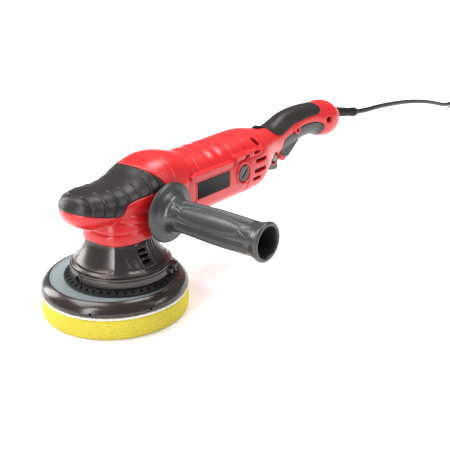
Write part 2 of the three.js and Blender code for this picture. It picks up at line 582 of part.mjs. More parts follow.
const SIDE_HANDLE = [
  [0, 72], [4.4, 72], [4.4, 37.8], [11.6, 37.8], [13, 40.8], [30.6, 41.4], [31.4, 43.2], [29, 44.8],
  [20.4, 47.4], [16.6, 53], [16.4, 75], [17.3, 100], [17.3, 120], [16.5, 150], [18.8, 156.6],
  [19.3, 160], [18.2, HANDLE_X1], [15.6, HANDLE_X1], [14.4, 158], [14.2, 124], [0, 120],
];

function buildSideHandle() {
  add('side_handle', SOFT, turned(SIDE_HANDLE, 'x', BOSS_AT, 24));
  add('side_handle_stud', STEEL, rod(4, 26, 71.6, 'x', BOSS_AT, 12));
}

// ---------------------------------------------------------------- cord

/** A round tube of the cord through a list of points, its ends square to its run. */
function tube(points, radius, steps) {
  const path = new THREE.CatmullRomCurve3(points.map((point) => new THREE.Vector3(...point)), false, 'centripetal');
  const section = new THREE.Shape().absarc(0, 0, radius, 0, 2 * Math.PI);
  return solid(new THREE.ExtrudeGeometry(section, {
    steps, curveSegments: 4, bevelEnabled: false, extrudePath: path,
  }));
}

function buildCord() {
  const run = new THREE.Vector3(...RELIEF_END).sub(new THREE.Vector3(...TAIL_EXIT));
  const relief = turned([
    [0, 0], [7, 0], [7, 3], [6.6, 8], [5.6, 44], [6.3, 47], [6.3, 54], [5.2, run.length()], [0, run.length()],
  ], 'y', [0, 0, 0], 16);
  const lean = Math.atan2(run.z, run.y);
  add('strain_relief', BLACK, solid(shape(relief).rotateX(lean).translate(...TAIL_EXIT)));
  add('cord', BLACK, tube(CORD_ROUTE, CORD_R, 30));
  const coil = turned([
    [COIL_IN + 2, COIL_Z[0]], [COIL_OUT - 2, COIL_Z[0]], [COIL_OUT, COIL_Z[0] + 2], [COIL_OUT, COIL_Z[1] - 2],
    [COIL_OUT - 2, COIL_Z[1]], [COIL_IN + 2, COIL_Z[1]], [COIL_IN, COIL_Z[1] - 2], [COIL_IN, COIL_Z[0] + 2],
    [COIL_IN + 2, COIL_Z[0]],
  ], 'z', [...COIL_AT, 0], 24);
  add('cord_coil', BLACK, coil);
  const strap = cut(
    block(COIL_IN - 1.6, COIL_OUT + 1, -4.5, 4.5, 0, COIL_Z[1] + 0.9),
    block(COIL_IN - 0.9, COIL_OUT + 0.3, -6, 6, 0.6, COIL_Z[1] + 0.3),
  );
  add('cord_tie', HOOK, solid(shape(strap).rotateZ(0.9).translate(...COIL_AT, 0)));
  add('cord_end', BLACK, tube(CORD_END_ROUTE, CORD_R, 6));
  const body = hull([
    [-19, 9, -5.6, 5.6, 2.6], [-17, 13, -8.6, 8.6, 3], [-4, 13, -8.8, 8.8, 3], [6, 9.6, -8, 8, 2.6], [17.6, 6, -5.4, 5.4, 2],
  ], { around: 16 });
  const pins = [6.3, -6.3].map((x) => block(x - 0.75, x + 0.75, -36, -17, -3.2, 3.2));
  add('mains_plug', BLACK, solid(shape(join(body, ...pins)).rotateZ(PLUG_TURN).translate(...PLUG_AT)));
}

// ---------------------------------------------------------------- the machine, piece by piece

buildPad();
buildBackingPlate();
buildSpindle();
buildGears();
buildRotor();
buildStator();
buildHead();
buildGearCase();
buildShroud();
buildMotorHousing();
buildRearHandle();
buildControls();
buildSideHandle();
buildCord();

export default polisher;
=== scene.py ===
"""Visual model of a dual action polisher, built around its fixed CAD frame.

Lengths in the classes are millimetres in the frame of the CAD part; pieces are scaled to metres when placed.
"""

import json
import logging
import math
from collections.abc import Callable, Sequence
from dataclasses import dataclass
from enum import Enum

import bmesh
import bpy
import numpy as np
from mathutils import Matrix, Vector


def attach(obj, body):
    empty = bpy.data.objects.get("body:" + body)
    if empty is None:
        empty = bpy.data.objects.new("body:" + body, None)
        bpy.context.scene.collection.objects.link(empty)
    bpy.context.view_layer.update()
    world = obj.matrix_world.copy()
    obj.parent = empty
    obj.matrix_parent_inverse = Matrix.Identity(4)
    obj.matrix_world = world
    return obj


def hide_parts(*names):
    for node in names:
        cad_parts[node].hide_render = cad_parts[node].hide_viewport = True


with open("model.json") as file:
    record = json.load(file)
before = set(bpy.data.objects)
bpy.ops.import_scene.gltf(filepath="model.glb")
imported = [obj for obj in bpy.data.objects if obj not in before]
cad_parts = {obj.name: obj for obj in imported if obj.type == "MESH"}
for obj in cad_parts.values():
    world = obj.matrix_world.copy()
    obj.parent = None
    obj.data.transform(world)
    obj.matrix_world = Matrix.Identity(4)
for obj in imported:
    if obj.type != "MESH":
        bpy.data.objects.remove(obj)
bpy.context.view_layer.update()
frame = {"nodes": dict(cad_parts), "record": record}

MM = 0.001
ORIGIN = (0.0, 0.0, 0.0)
MOTOR_Z = 109.4
GRIP_GAP = 0.35
PAD_AT = (-5.834, -4.713, 0.0)
SIDES = (("left", 1), ("right", -1))
WIDE = (-60.0, 60.0)
SHARP = math.radians(32.0)
Row = tuple[float, ...]
Field = Callable[[np.ndarray, np.ndarray, np.ndarray], np.ndarray]

log = logging.getLogger("polisher")


class Axis(Enum):
    """The axis a turned piece stands along, as the matrix that carries Z onto it."""

    X = Matrix(((0, 0, 1), (0, 1, 0), (-1, 0, 0)))
    Z = Matrix(((1, 0, 0), (0, 1, 0), (0, 0, 1)))


# ---------------------------------------------------------------- shader arithmetic


class Wire:
    """A shader value that takes part in arithmetic."""

    def __init__(self, tree: bpy.types.NodeTree, socket: bpy.types.NodeSocket) -> None:
        """Wraps one output socket of a node tree."""
        self.tree = tree
        self.socket = socket

    def _math(self, operation: str, *values: object) -> "Wire":
        """One Math node of the given values."""
        node = self.tree.nodes.new("ShaderNodeMath")
        node.operation = operation
        for index, value in enumerate(values):
            plug(self.tree, node.inputs[index], value)
        return Wire(self.tree, node.outputs[0])

    def __add__(self, other: object) -> "Wire":
        return self._math("ADD", self, other)

    __radd__ = __add__

    def __mul__(self, other: object) -> "Wire":
        return self._math("MULTIPLY", self, other)

    def __sub__(self, other: object) -> "Wire":
        return self._math("SUBTRACT", self, other)

    def ramp(self, start: float, end: float) -> "Wire":
        """Goes smoothly from 0 to 1 while this value goes from start to end."""
        node = self.tree.nodes.new("ShaderNodeMapRange")
        node.interpolation_type = "SMOOTHSTEP"
        for index, value in enumerate((self, start, end, 0.0, 1.0)):
            plug(self.tree, node.inputs[index], value)
        return Wire(self.tree, node.outputs[0])


def plug(tree: bpy.types.NodeTree, socket: bpy.types.NodeSocket, value: object) -> None:
    """Links a wire to a socket, or sets the socket to a constant."""
    if isinstance(value, Wire):
        tree.links.new(value.socket, socket)
    else:
        socket.default_value = value


class Finish:
    """A procedural material on one Principled shader; known holds each one under its name."""

    known: dict[str, bpy.types.Material] = {}

    def __init__(self, name: str, **constants: object) -> None:
        """Makes the material; constants are shader sockets with _ for spaces."""
        self.material = bpy.data.materials.new(name)
        self.material.use_nodes = True
        self.known[name] = self.material
        self.tree = self.material.node_tree
        self.shader = self.tree.nodes["Principled BSDF"]
        for key, value in constants.items():
            self.shader.inputs[key.replace("_", " ")].default_value = value
        self.place = self.node("ShaderNodeTexCoord", {}, {}, "Object")

    def node(self, kind: str, settings: dict, sockets: dict, output: str | int = 0) -> Wire:
        """Adds any other node.

        Args:
            kind: the node's type.
            settings: properties, set first.
            sockets: inputs by name or index, linked or set after the settings.
            output: the output to return.

        Returns:
            That output as a wire.
        """
        made = self.tree.nodes.new(kind)
        for key, value in settings.items():
            setattr(made, key, value)
        for key, value in sockets.items():
            plug(self.tree, made.inputs[key], value)
        return Wire(self.tree, made.outputs[output])

    def axis(self, name: str) -> Wire:
        """One object coordinate in millimetres."""
        return self.node("ShaderNodeSeparateXYZ", {}, {0: self.place}, name) * 1000.0

    def noise(self, size: float, detail: float = 3.0, rough: float = 0.55) -> Wire:
        """Noise whose features are about size millimetres across."""
        sockets = {"Vector": self.place, "Scale": 1000.0 / size, "Detail": detail, "Roughness": rough}
        return self.node("ShaderNodeTexNoise", {}, sockets)

    def cells(self, size: float) -> Wire:
        """Distance to the nearest cell centre, for cells about size millimetres across."""
        return self.node("ShaderNodeTexVoronoi", {}, {"Vector": self.place, "Scale": 1000.0 / size})

    def mix(self, share: Wire, first: object, second: object) -> Wire:
        """A colour between two, by share."""
        return self.node("ShaderNodeMix", {"data_type": "RGBA"}, {0: share, 6: first, 7: second}, 2)

    def drive(self, name: str, value: Wire) -> "Finish":
        """Links a varying value to a shader input."""
        plug(self.tree, self.shader.inputs[name], value)
        return self

    def bump(self, height: Wire, depth: float) -> "Finish":
        """Bumps the surface by height times depth millimetres."""
        sockets = {"Height": height, "Distance": depth * MM, "Strength": 1.0}
        return self.drive("Normal", self.node("ShaderNodeBump", {}, sockets))


def colour(red: float, green: float, blue: float) -> Row:
    """A linear colour with full alpha."""
    return (red, green, blue, 1.0)


@dataclass(frozen=True)
class Plastic:
    """A moulded plastic or rubber: two close shades, a fine grain and slow changes of sheen."""

    name: str
    base: Row
    shade: Row
    roughness: float
    spread: float = 0.05
    grain: float = 0.5
    depth: float = 0.02
    metallic: float = 0.0
    coat: float = 0.0
    specular: float = 0.5

    def make(self) -> Finish:
        """Builds the material."""
        made = Finish(self.name, Metallic=self.metallic, Coat_Weight=self.coat, Coat_Roughness=0.15,
                      Specular_IOR_Level=self.specular)
        slow = made.noise(18.0, 2.0)
        fine = made.noise(self.grain, 2.0)
        made.drive("Base Color", made.mix(slow, self.base, self.shade))
        made.drive("Roughness", self.roughness + (slow - 0.5) * self.spread + (fine - 0.5) * self.spread)
        return made.bump(fine, self.depth)


@dataclass(frozen=True)
class Metal:
    """A machined or cast metal with fine tool marks along one axis."""

    name: str
    base: Row
    roughness: float
    marks: float = 0.25

    def make(self) -> Finish:
        """Builds the material."""
        made = Finish(self.name, Metallic=1.0)
        marks = made.noise(self.marks, 2.0)
        slow = made.noise(6.0)
        dark = tuple(0.78 * part for part in self.base[:3]) + (1.0,)
        made.drive("Base Color", made.mix(slow, self.base, dark))
        made.drive("Roughness", self.roughness + (marks - 0.5) * 0.2)
        return made.bump(marks, 0.01)


class Palette:
    """The finishes, each under the record's slot name where it has one."""

    def build(self) -> None:
        """Builds every finish."""
        plastics = [
            Plastic("red_plastic", colour(0.60, 0.011, 0.013), colour(0.54, 0.008, 0.010), 0.3, coat=0.15),
            Plastic("soft_grip", colour(0.020, 0.016, 0.0155), colour(0.015, 0.012, 0.0115), 0.37, 0.08, 0.35,
                    0.03, specular=0.38),
            Plastic("graphite_plastic", colour(0.085, 0.074, 0.073), colour(0.07, 0.061, 0.060), 0.25, 0.04,
                    4.0, 0.004, metallic=0.75),
            Plastic("handle_plastic", colour(0.085, 0.086, 0.087), colour(0.068, 0.069, 0.070), 0.3, 0.08,
                    0.5, 0.03, metallic=0.6),
            Plastic("black_plastic", colour(0.006, 0.006, 0.0065), colour(0.009, 0.009, 0.0095), 0.5, 0.1,
                    0.4, 0.02, specular=0.2),
            Plastic("plate_rubber", colour(0.034, 0.023, 0.021), colour(0.021, 0.014, 0.013), 0.22, 0.12, 1.4,
                    0.06, metallic=0.15, coat=0.3),
            Plastic("button_plastic", colour(0.22, 0.22, 0.23), colour(0.17, 0.17, 0.18), 0.35, metallic=0.4),
            Plastic("trigger_plastic", colour(0.085, 0.072, 0.070), colour(0.07, 0.06, 0.058), 0.5),
            Plastic("cord_jacket", colour(0.005, 0.005, 0.0055), colour(0.008, 0.008, 0.0085), 0.5, 0.1, 0.8,
                    0.03, specular=0.3),
            Plastic("strap", colour(0.02, 0.02, 0.021), colour(0.035, 0.035, 0.037), 0.85, 0.1, 0.5, 0.15),
            Plastic("carbon", colour(0.02, 0.02, 0.022), colour(0.035, 0.035, 0.038), 0.7),
        ]
        metals = [
            Metal("steel", colour(0.62, 0.63, 0.65), 0.28),
            Metal("dark_steel", colour(0.17, 0.175, 0.18), 0.38),
            Metal("cast_alloy", colour(0.45, 0.46, 0.47), 0.5, 0.6),
            Metal("copper", colour(0.72, 0.33, 0.16), 0.35),
            Metal("brass", colour(0.72, 0.52, 0.2), 0.3),
        ]
        for style in plastics + metals:
            style.make()
        for special in (self._laminate, self._foam, self._loop, self._label, self._floor):
            special()

    @staticmethod
    def _laminate() -> Finish:
        """Grey-blue pressed fibre board with pale specks."""
        made = Finish("disc_laminate", Specular_IOR_Level=0.35)
        specks = made.noise(0.9, 4.0, 0.7)
        base = made.mix(made.noise(9.0), colour(0.20, 0.245, 0.25), colour(0.17, 0.21, 0.215))
        made.drive("Base Color", made.mix(specks.ramp(0.6, 0.75), base, colour(0.27, 0.31, 0.315)))
        made.drive("Roughness", 0.5 + specks * 0.15)
        return made.bump(specks, 0.04)

    @staticmethod
    def _foam() -> Finish:
        """Yellow open-cell foam: pores, with painted shade darkening the hollows between the cells."""
        made = Finish("foam", Specular_IOR_Level=0.2, Subsurface_Weight=0.15, Subsurface_Scale=0.003)
        pores = made.cells(0.9)
        rough = made.noise(1.6, 4.0, 0.7)
        pale = made.mix(made.noise(12.0), colour(0.78, 0.66, 0.085), colour(0.72, 0.60, 0.07))
        # painted shade in the low hollows between the cells, mixed with a random darker tone from the rough
        # noise
        made.drive("Base Color", made.mix((pores + rough).ramp(0.75, 1.3), pale, colour(0.58, 0.47, 0.05)))
        made.drive("Roughness", 0.88 + rough * 0.1)
        return made.bump(pores * -1.0 + rough, 0.35)

    @staticmethod
    def _loop() -> Finish:
        """White loop cloth."""
        made = Finish("loop_cloth", Specular_IOR_Level=0.15, Sheen_Weight=0.4)
        fuzz = made.noise(0.7, 5.0, 0.75)
        made.drive("Base Color", made.mix(fuzz, colour(0.74, 0.70, 0.60), colour(0.93, 0.91, 0.84)))
        made.drive("Roughness", 0.85 + fuzz * 0.12)
        return made.bump(fuzz, 0.5)

    @staticmethod
    def _label() -> Finish:
        """Dark printed film with a painted reflection that lightens it towards its upper edge, left blank."""
        made = Finish("label_film", Specular_IOR_Level=0.12)
        # painted reflection: the colour goes from black to dark grey towards the film's top, standing in for
        # lamp reflections
        painted_sheen = (made.axis("Z") + made.axis("Y") * 0.1).ramp(112.0, 131.0)
        weave = made.noise(0.5)
        made.drive("Base Color", made.mix(painted_sheen, colour(0.003, 0.003, 0.0035), colour(0.035, 0.036, 0.038)))
        made.drive("Roughness", 0.45 + weave * 0.08)
        return made.bump(weave, 0.006)

    @staticmethod
    def _floor() -> Finish:
        """Matt pale studio floor."""
        made = Finish("floor", Specular_IOR_Level=0.2)
        grain = made.noise(60.0)
        made.drive("Base Color", made.mix(grain, colour(0.86, 0.86, 0.86), colour(0.885, 0.885, 0.885)))
        made.drive("Roughness", 0.85 + grain * 0.1)
        return made


# ---------------------------------------------------------------- modelling


def smoothstep(value: np.ndarray, start: float, end: float) -> np.ndarray:
    """0 at start, 1 at end and smooth between."""
    share = np.clip((value - start) / (end - start), 0.0, 1.0)
    return share * share * (3.0 - 2.0 * share)


def line(distance: np.ndarray, half: float) -> np.ndarray:
    """A rounded groove profile, 1 where distance is 0 and 0 beyond half."""
    share = np.clip(1.0 - np.abs(distance) / half, 0.0, 1.0)
    return share * share * (3.0 - 2.0 * share)


def window(value: np.ndarray, low: float, high: float, soft: float) -> np.ndarray:
    """1 between low and high and 0 beyond, softened over soft."""
    return smoothstep(value, low - soft, low + soft) * (1.0 - smoothstep(value, high - soft, high + soft))


def capsule(y: np.ndarray, z: np.ndarray, start: Row, end: Row) -> np.ndarray:
    """Distance from the line between two points of a side view."""
    along = np.array([end[0] - start[0], end[1] - start[1]])
    share = np.clip(((y - start[0]) * along[0] + (z - start[1]) * along[1]) / (along @ along), 0.0, 1.0)
    return np.hypot(y - start[0] - share * along[0], z - start[1] - share * along[1])


def curved(points: Sequence[Row], first: int, t: float) -> np.ndarray:
    """A Catmull-Rom curve between the points first and first + 1, at t from 0 to 1."""
    picks = [min(max(first + step, 0), len(points) - 1) for step in (-1, 0, 1, 2)]
    a, b, c, d = (np.array(points[pick], float) for pick in picks)
    bend, twist = 2 * a - 5 * b + 4 * c - d, 3 * b - a - 3 * c + d
    return 0.5 * (2 * b + (c - a) * t + bend * t * t + twist * t ** 3)


@dataclass(frozen=True)
class Track:
    """Cross-sections of a hull, read smoothly between them: [along, half width, low, high, squareness]."""

    rows: tuple[Row, ...]

    def at(self, share: float) -> np.ndarray:
        """The section a share of the way along, by a Catmull-Rom curve."""
        spot = share * (len(self.rows) - 1)
        first = min(int(spot), len(self.rows) - 2)
        return curved(self.rows, first, spot - first)


def linked(name: str, data: bpy.types.ID) -> bpy.types.Object:
    """A new object of this data, in the scene."""
    thing = bpy.data.objects.new(name, data)
    bpy.context.scene.collection.objects.link(thing)
    return thing


class Body:
    """A closed body in millimetres that is joined, cut and softened by modifiers."""

    def __init__(self, mesh: bmesh.types.BMesh) -> None:
        """Takes over a bmesh and faces it outward."""
        bmesh.ops.recalc_face_normals(mesh, faces=mesh.faces)
        data = bpy.data.meshes.new("body")
        mesh.to_mesh(data)
        mesh.free()
        self.thing = linked("body", data)

    def copy(self) -> "Body":
        """A second body of the same shape."""
        mesh = bmesh.new()
        mesh.from_mesh(self.thing.data)
        return Body(mesh)

    def drop(self) -> None:
        """Removes the body."""
        data = self.thing.data
        bpy.data.objects.remove(self.thing)
        bpy.data.meshes.remove(data)

    def apply(self, kind: str, **settings: object) -> "Body":
        """Applies one modifier with these settings."""
        modifier = self.thing.modifiers.new("step", kind)
        for key, value in settings.items():
            setattr(modifier, key, value)
        graph = bpy.context.evaluated_depsgraph_get()
        data = bpy.data.meshes.new_from_object(self.thing.evaluated_get(graph))
        old = self.thing.data
        self.thing.modifiers.clear()
        self.thing.data = data
        bpy.data.meshes.remove(old)
        return self

    def _combine(self, operation: str, others: Sequence["Body"]) -> "Body":
        """Combines other bodies into this one and removes them."""
        for other in others:
            self.apply("BOOLEAN", object=other.thing, operation=operation, solver="MANIFOLD")
            other.drop()
        return self

    def join(self, *others: "Body") -> "Body":
        """Adds other bodies."""
        return self._combine("UNION", others)

    def cut(self, *others: "Body") -> "Body":
        """Takes other bodies away."""
        return self._combine("DIFFERENCE", others)

    def keep(self, *others: "Body") -> "Body":
        """Keeps what is inside the other bodies."""
        return self._combine("INTERSECT", others)

    def soften(self, voxel: float, rounds: int) -> "Body":
        """Rebuilds the surface evenly and rounds its edges."""
        self.apply("REMESH", mode="VOXEL", voxel_size=voxel, adaptivity=0.0, use_smooth_shade=True)
        return self.apply("SMOOTH", factor=0.5, iterations=rounds)

    def bevel(self, width: float, segments: int = 2) -> "Body":
        """Rounds the sharp edges."""
        return self.apply("BEVEL", width=width, segments=segments, limit_method="ANGLE", angle_limit=SHARP)

    def dent(self, depth: Field) -> "Body":
        """Moves the surface inward along its normals by a depth that depends on the place."""
        data = self.thing.data
        count = len(data.vertices)
        spots = np.empty(count * 3, np.float32)
        data.vertices.foreach_get("co", spots)
        normals = np.array([normal.vector for normal in data.vertex_normals], float)
        spots = spots.reshape(-1, 3).astype(float)
        moved = spots - normals * depth(*spots.T)[:, None]
        data.vertices.foreach_set("co", moved.astype(np.float32).ravel())
        data.update()
        return self

    def shift(self, matrix: Matrix) -> "Body":
        """Moves the body by a matrix."""
        self.thing.data.transform(matrix)
        if matrix.determinant() < 0:
            self.thing.data.flip_normals()
        return self

    def place(self, name: str, finish: str, body: str = "root", replaces: Sequence[str] = (),
              angle: float = 34.0) -> bpy.types.Object:
        """Makes the body a finished piece in metres that rides on a CAD body.

        Args:
            name: the piece's name.
            finish: its finish in the palette.
            body: the CAD body it rides on.
            replaces: the CAD nodes it stands for.
            angle: edges sharper than this stay sharp.

        Returns:
            The piece.
        """
        data = self.thing.data
        data.transform(Matrix.Scale(MM, 4))
        data.polygons.foreach_set("use_smooth", [True] * len(data.polygons))
        data.set_sharp_from_angle(angle=math.radians(angle))
        data.materials.clear()
        data.materials.append(Finish.known[finish])
        data.name = name
        self.thing.name = name
        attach(self.thing, body)
        if replaces:
            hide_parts(*replaces)
        finish in SLOTS
        return self.thing


SLOTS = {row["slot"] for row in frame["record"]["materials"]}


def squircle(angle: float, power: float) -> tuple[float, float]:
    """A point of a rounded square of reach 1, where a power of 2 is a circle."""
    across, upward = math.cos(angle), math.sin(angle)
    return (math.copysign(abs(across) ** (2.0 / power), across),
            math.copysign(abs(upward) ** (2.0 / power), upward))


def hull(track: Track, step: float = 1.2, around: int = 160, grow: float = 0.0) -> Body:
    """A hull swept along Y through its cross-sections.

    Args:
        track: the sections.
        step: spacing along Y.
        around: faces around.
        grow: how far the skin is moved outward.

    Returns:
        The closed body.
    """
    rows = max(8, int(abs(track.rows[-1][0] - track.rows[0][0]) / step))
    mesh = bmesh.new()
    bmesh.ops.create_grid(mesh, x_segments=rows, y_segments=around, size=1.0)
    for vert in mesh.verts:
        along, half, low, high, power = track.at((vert.co.x + 1.0) / 2.0)
        across, upward = squircle(vert.co.y * math.pi, power)
        reach = (high - low) / 2.0 + grow
        vert.co = Vector((across * (half + grow), along, (low + high) / 2.0 + upward * reach))
    bmesh.ops.remove_doubles(mesh, verts=mesh.verts, dist=1e-3)
    bmesh.ops.holes_fill(mesh, edges=mesh.edges, sides=0)
    return Body(mesh)


def tower(track: Track, step: float = 0.8, around: int = 200) -> Body:
    """The same hull standing on Z, with sections [z, half width, front y, back y, squareness]."""
    lying = Track(tuple((row[0], row[1], -row[3], -row[2], row[4]) for row in track.rows))
    return hull(lying, step, around).shift(Matrix.Rotation(math.pi / 2, 4, "X"))


def rounded(profile: Sequence[Row], radius: float, steps: int = 4) -> list[Row]:
    """The profile with its inner corners rounded off."""
    made = [profile[0]]
    for before, corner, after in zip(profile, profile[1:], profile[2:]):
        arm = [Vector(before[:2]) - Vector(corner[:2]), Vector(after[:2]) - Vector(corner[:2])]
        reach = min(radius, 0.45 * arm[0].length, 0.45 * arm[1].length)
        start, end = (Vector(corner[:2]) + side.normalized() * reach for side in arm)
        for index in range(steps + 1):
            share = index / steps
            middle = Vector(corner[:2]) * (2 * share * (1 - share))
            made.append(tuple(start * (1 - share) ** 2 + middle + end * share ** 2))
    return made + [profile[-1]]


def turned(profile: Sequence[Row], axis: Axis = Axis.Z, at: Row = ORIGIN, around: int = 96) -> Body:
    """A turned body from [radius, height] points along an axis."""
    mesh = bmesh.new()
    verts = [mesh.verts.new((max(radius, 0.0), 0.0, height)) for radius, height in profile]
    edges = [mesh.edges.new(pair) for pair in zip(verts, verts[1:])]
    bmesh.ops.spin(mesh, geom=verts + edges, cent=ORIGIN, axis=(0, 0, 1), angle=2 * math.pi, steps=around,
                   use_merge=True)
    bmesh.ops.remove_doubles(mesh, verts=mesh.verts, dist=1e-4)
    return Body(mesh).shift(Matrix.Translation(at) @ axis.value.to_4x4())


def rod(radius: float, start: float, end: float, axis: Axis, at: Row = ORIGIN, around: int = 48) -> Body:
    """A round rod along an axis."""
    return turned([(0, start), (radius, start), (radius, end), (0, end)], axis, at, around)


def block(x: Row, y: Row, z: Row) -> Body:
    """A box between two limits on each axis."""
    mesh = bmesh.new()
    bmesh.ops.create_cube(mesh, size=1.0)
    size = Matrix.Diagonal((x[1] - x[0], y[1] - y[0], z[1] - z[0], 1.0))
    middle = Matrix.Translation(((x[0] + x[1]) / 2, (y[0] + y[1]) / 2, (z[0] + z[1]) / 2))
    return Body(mesh).shift(middle @ size)


def slab(outline: Sequence[Row], x: Row = WIDE) -> Body:
    """A side-view outline of [y, z] points, extruded across X."""
    mesh = bmesh.new()
    edge = [mesh.verts.new((x[0], y, z)) for y, z in outline]
    face = mesh.faces.new(edge)
    made = bmesh.ops.extrude_face_region(mesh, geom=[face])["geom"]
    moved = [item for item in made if isinstance(item, bmesh.types.BMVert)]
    bmesh.ops.translate(mesh, verts=moved, vec=(x[1] - x[0], 0, 0))
    return Body(mesh)


def lining(track: Track, depth: float) -> Body:
    """A coarse hull that lies a depth inside the skin, for cutting."""
    return hull(track, 2.0, 80, -depth)


def softened(outline: Sequence[Row], rounds: int = 2) -> list[Row]:
    """A closed outline with its corners cut into a smooth curve."""
    for _ in range(rounds):
        made = []
        for (ay, az), (by, bz) in zip(outline, [*outline[1:], outline[0]]):
            made += [(0.75 * ay + 0.25 * by, 0.75 * az + 0.25 * bz),
                     (0.25 * ay + 0.75 * by, 0.25 * az + 0.75 * bz)]
        outline = made
    return list(outline)


def grown(outline: Sequence[Row], by: float) -> list[Row]:
    """The outline moved outward from its middle."""
    middle = [sum(point[axis] for point in outline) / len(outline) for axis in (0, 1)]
    made = []
    for y, z in outline:
        reach = math.hypot(y - middle[0], z - middle[1])
        made.append((y + (y - middle[0]) / reach * by, z + (z - middle[1]) / reach * by))
    return made


@dataclass(frozen=True)
class Pad:
    """Foam pad, loop layer, backing plate and mounting disc, all on the pad's own axis."""

    radius: float = 75.4
    foam_top: float = 21.2
    plate_low: float = 23.6
    plate_top: float = 37.2
    disc_radius: float = 65.6
    vent_holes: int = 8
    vent_at: Row = (73, 0, 27.6)

    def build(self) -> None:
        """Builds and places the pieces."""
        wall = [(self.radius, height) for height in (7, 14, self.foam_top)]
        outline = [(0, 0), (self.radius - 0.2, 0), *wall, (0, self.foam_top)]
        foam = turned(rounded(outline, 2.6, 6), at=PAD_AT, around=240)
        foam.apply("SUBSURF", levels=1, render_levels=1, subdivision_type="SIMPLE")
        foam.dent(self._sag)
        foam.place("foam_cushion", "foam", "pad", ["foam_pad"])
        outline = [(0, 21.3), (self.radius + 0.1, 21.3), (self.radius + 0.2, 23.5), (0, 23.5)]
        cloth = turned(rounded(outline, 0.8), at=PAD_AT, around=400)
        cloth.dent(lambda x, y, z: 0.35 * np.sin(x * 5.1) * np.sin(y * 4.3) + 0.2 * np.sin(x * 11 + y * 13))
        cloth.place("loop_cloth_layer", "loop_cloth", "pad", ["pad_loop_layer"])
        self._plate()

    @staticmethod
    def _sag(x: np.ndarray, y: np.ndarray, z: np.ndarray) -> np.ndarray:
        """The foam's uneven skin."""
        angle = np.arctan2(y - PAD_AT[1], x - PAD_AT[0])
        wall = smoothstep(z, 1.0, 5.0) * (1 - smoothstep(z, 17.0, 21.0))
        waves = 0.25 * np.sin(angle * 5 + 1) + 0.15 * np.sin(angle * 13)
        return wall * waves + 0.08 * np.sin(x * 1.9 + z) * np.sin(y * 2.3)

    def _plate(self) -> None:
        """Backing plate with its rim holes, and the disc."""
        rim = rounded([
            (9, self.plate_low), (74.4, self.plate_low), (75.7, self.plate_low + 1.6),
            (75.5, self.plate_low + 4.4), (73.4, self.plate_low + 9), (70, 35.6), (67.2, self.plate_top),
            (65.9, self.plate_top), (65.9, 34.4), (6, 34.4), (6, 27.6), (9, 27.6), (9, self.plate_low),
        ], 1.6, 5)
        plate = turned(rim, at=PAD_AT, around=300)
        holes = []
        for index in range(self.vent_holes):
            spin = Matrix.Rotation(math.radians(28 + 45 * index), 4, "Z")
            turn = Matrix.Translation(PAD_AT) @ spin @ Matrix.Translation(self.vent_at)
            holes.append(rod(1.35, -4, 6, Axis.X, around=24).shift(turn))
        plate.cut(*holes).bevel(0.3)
        plate.place("plate_body", "plate_rubber", "pad", ["backing_plate"])
        top = rounded([(6, 34.8), (self.disc_radius, 34.8), (self.disc_radius, 37.1), (63.9, 37.1),
                       (63.6, 36.5), (63, 36.5), (62.7, 37.1), (6, 37.1), (6, 34.8)], 0.3)
        turned(top, at=PAD_AT, around=240).place("disc_face", "disc_laminate", "pad", ["mounting_disc"])


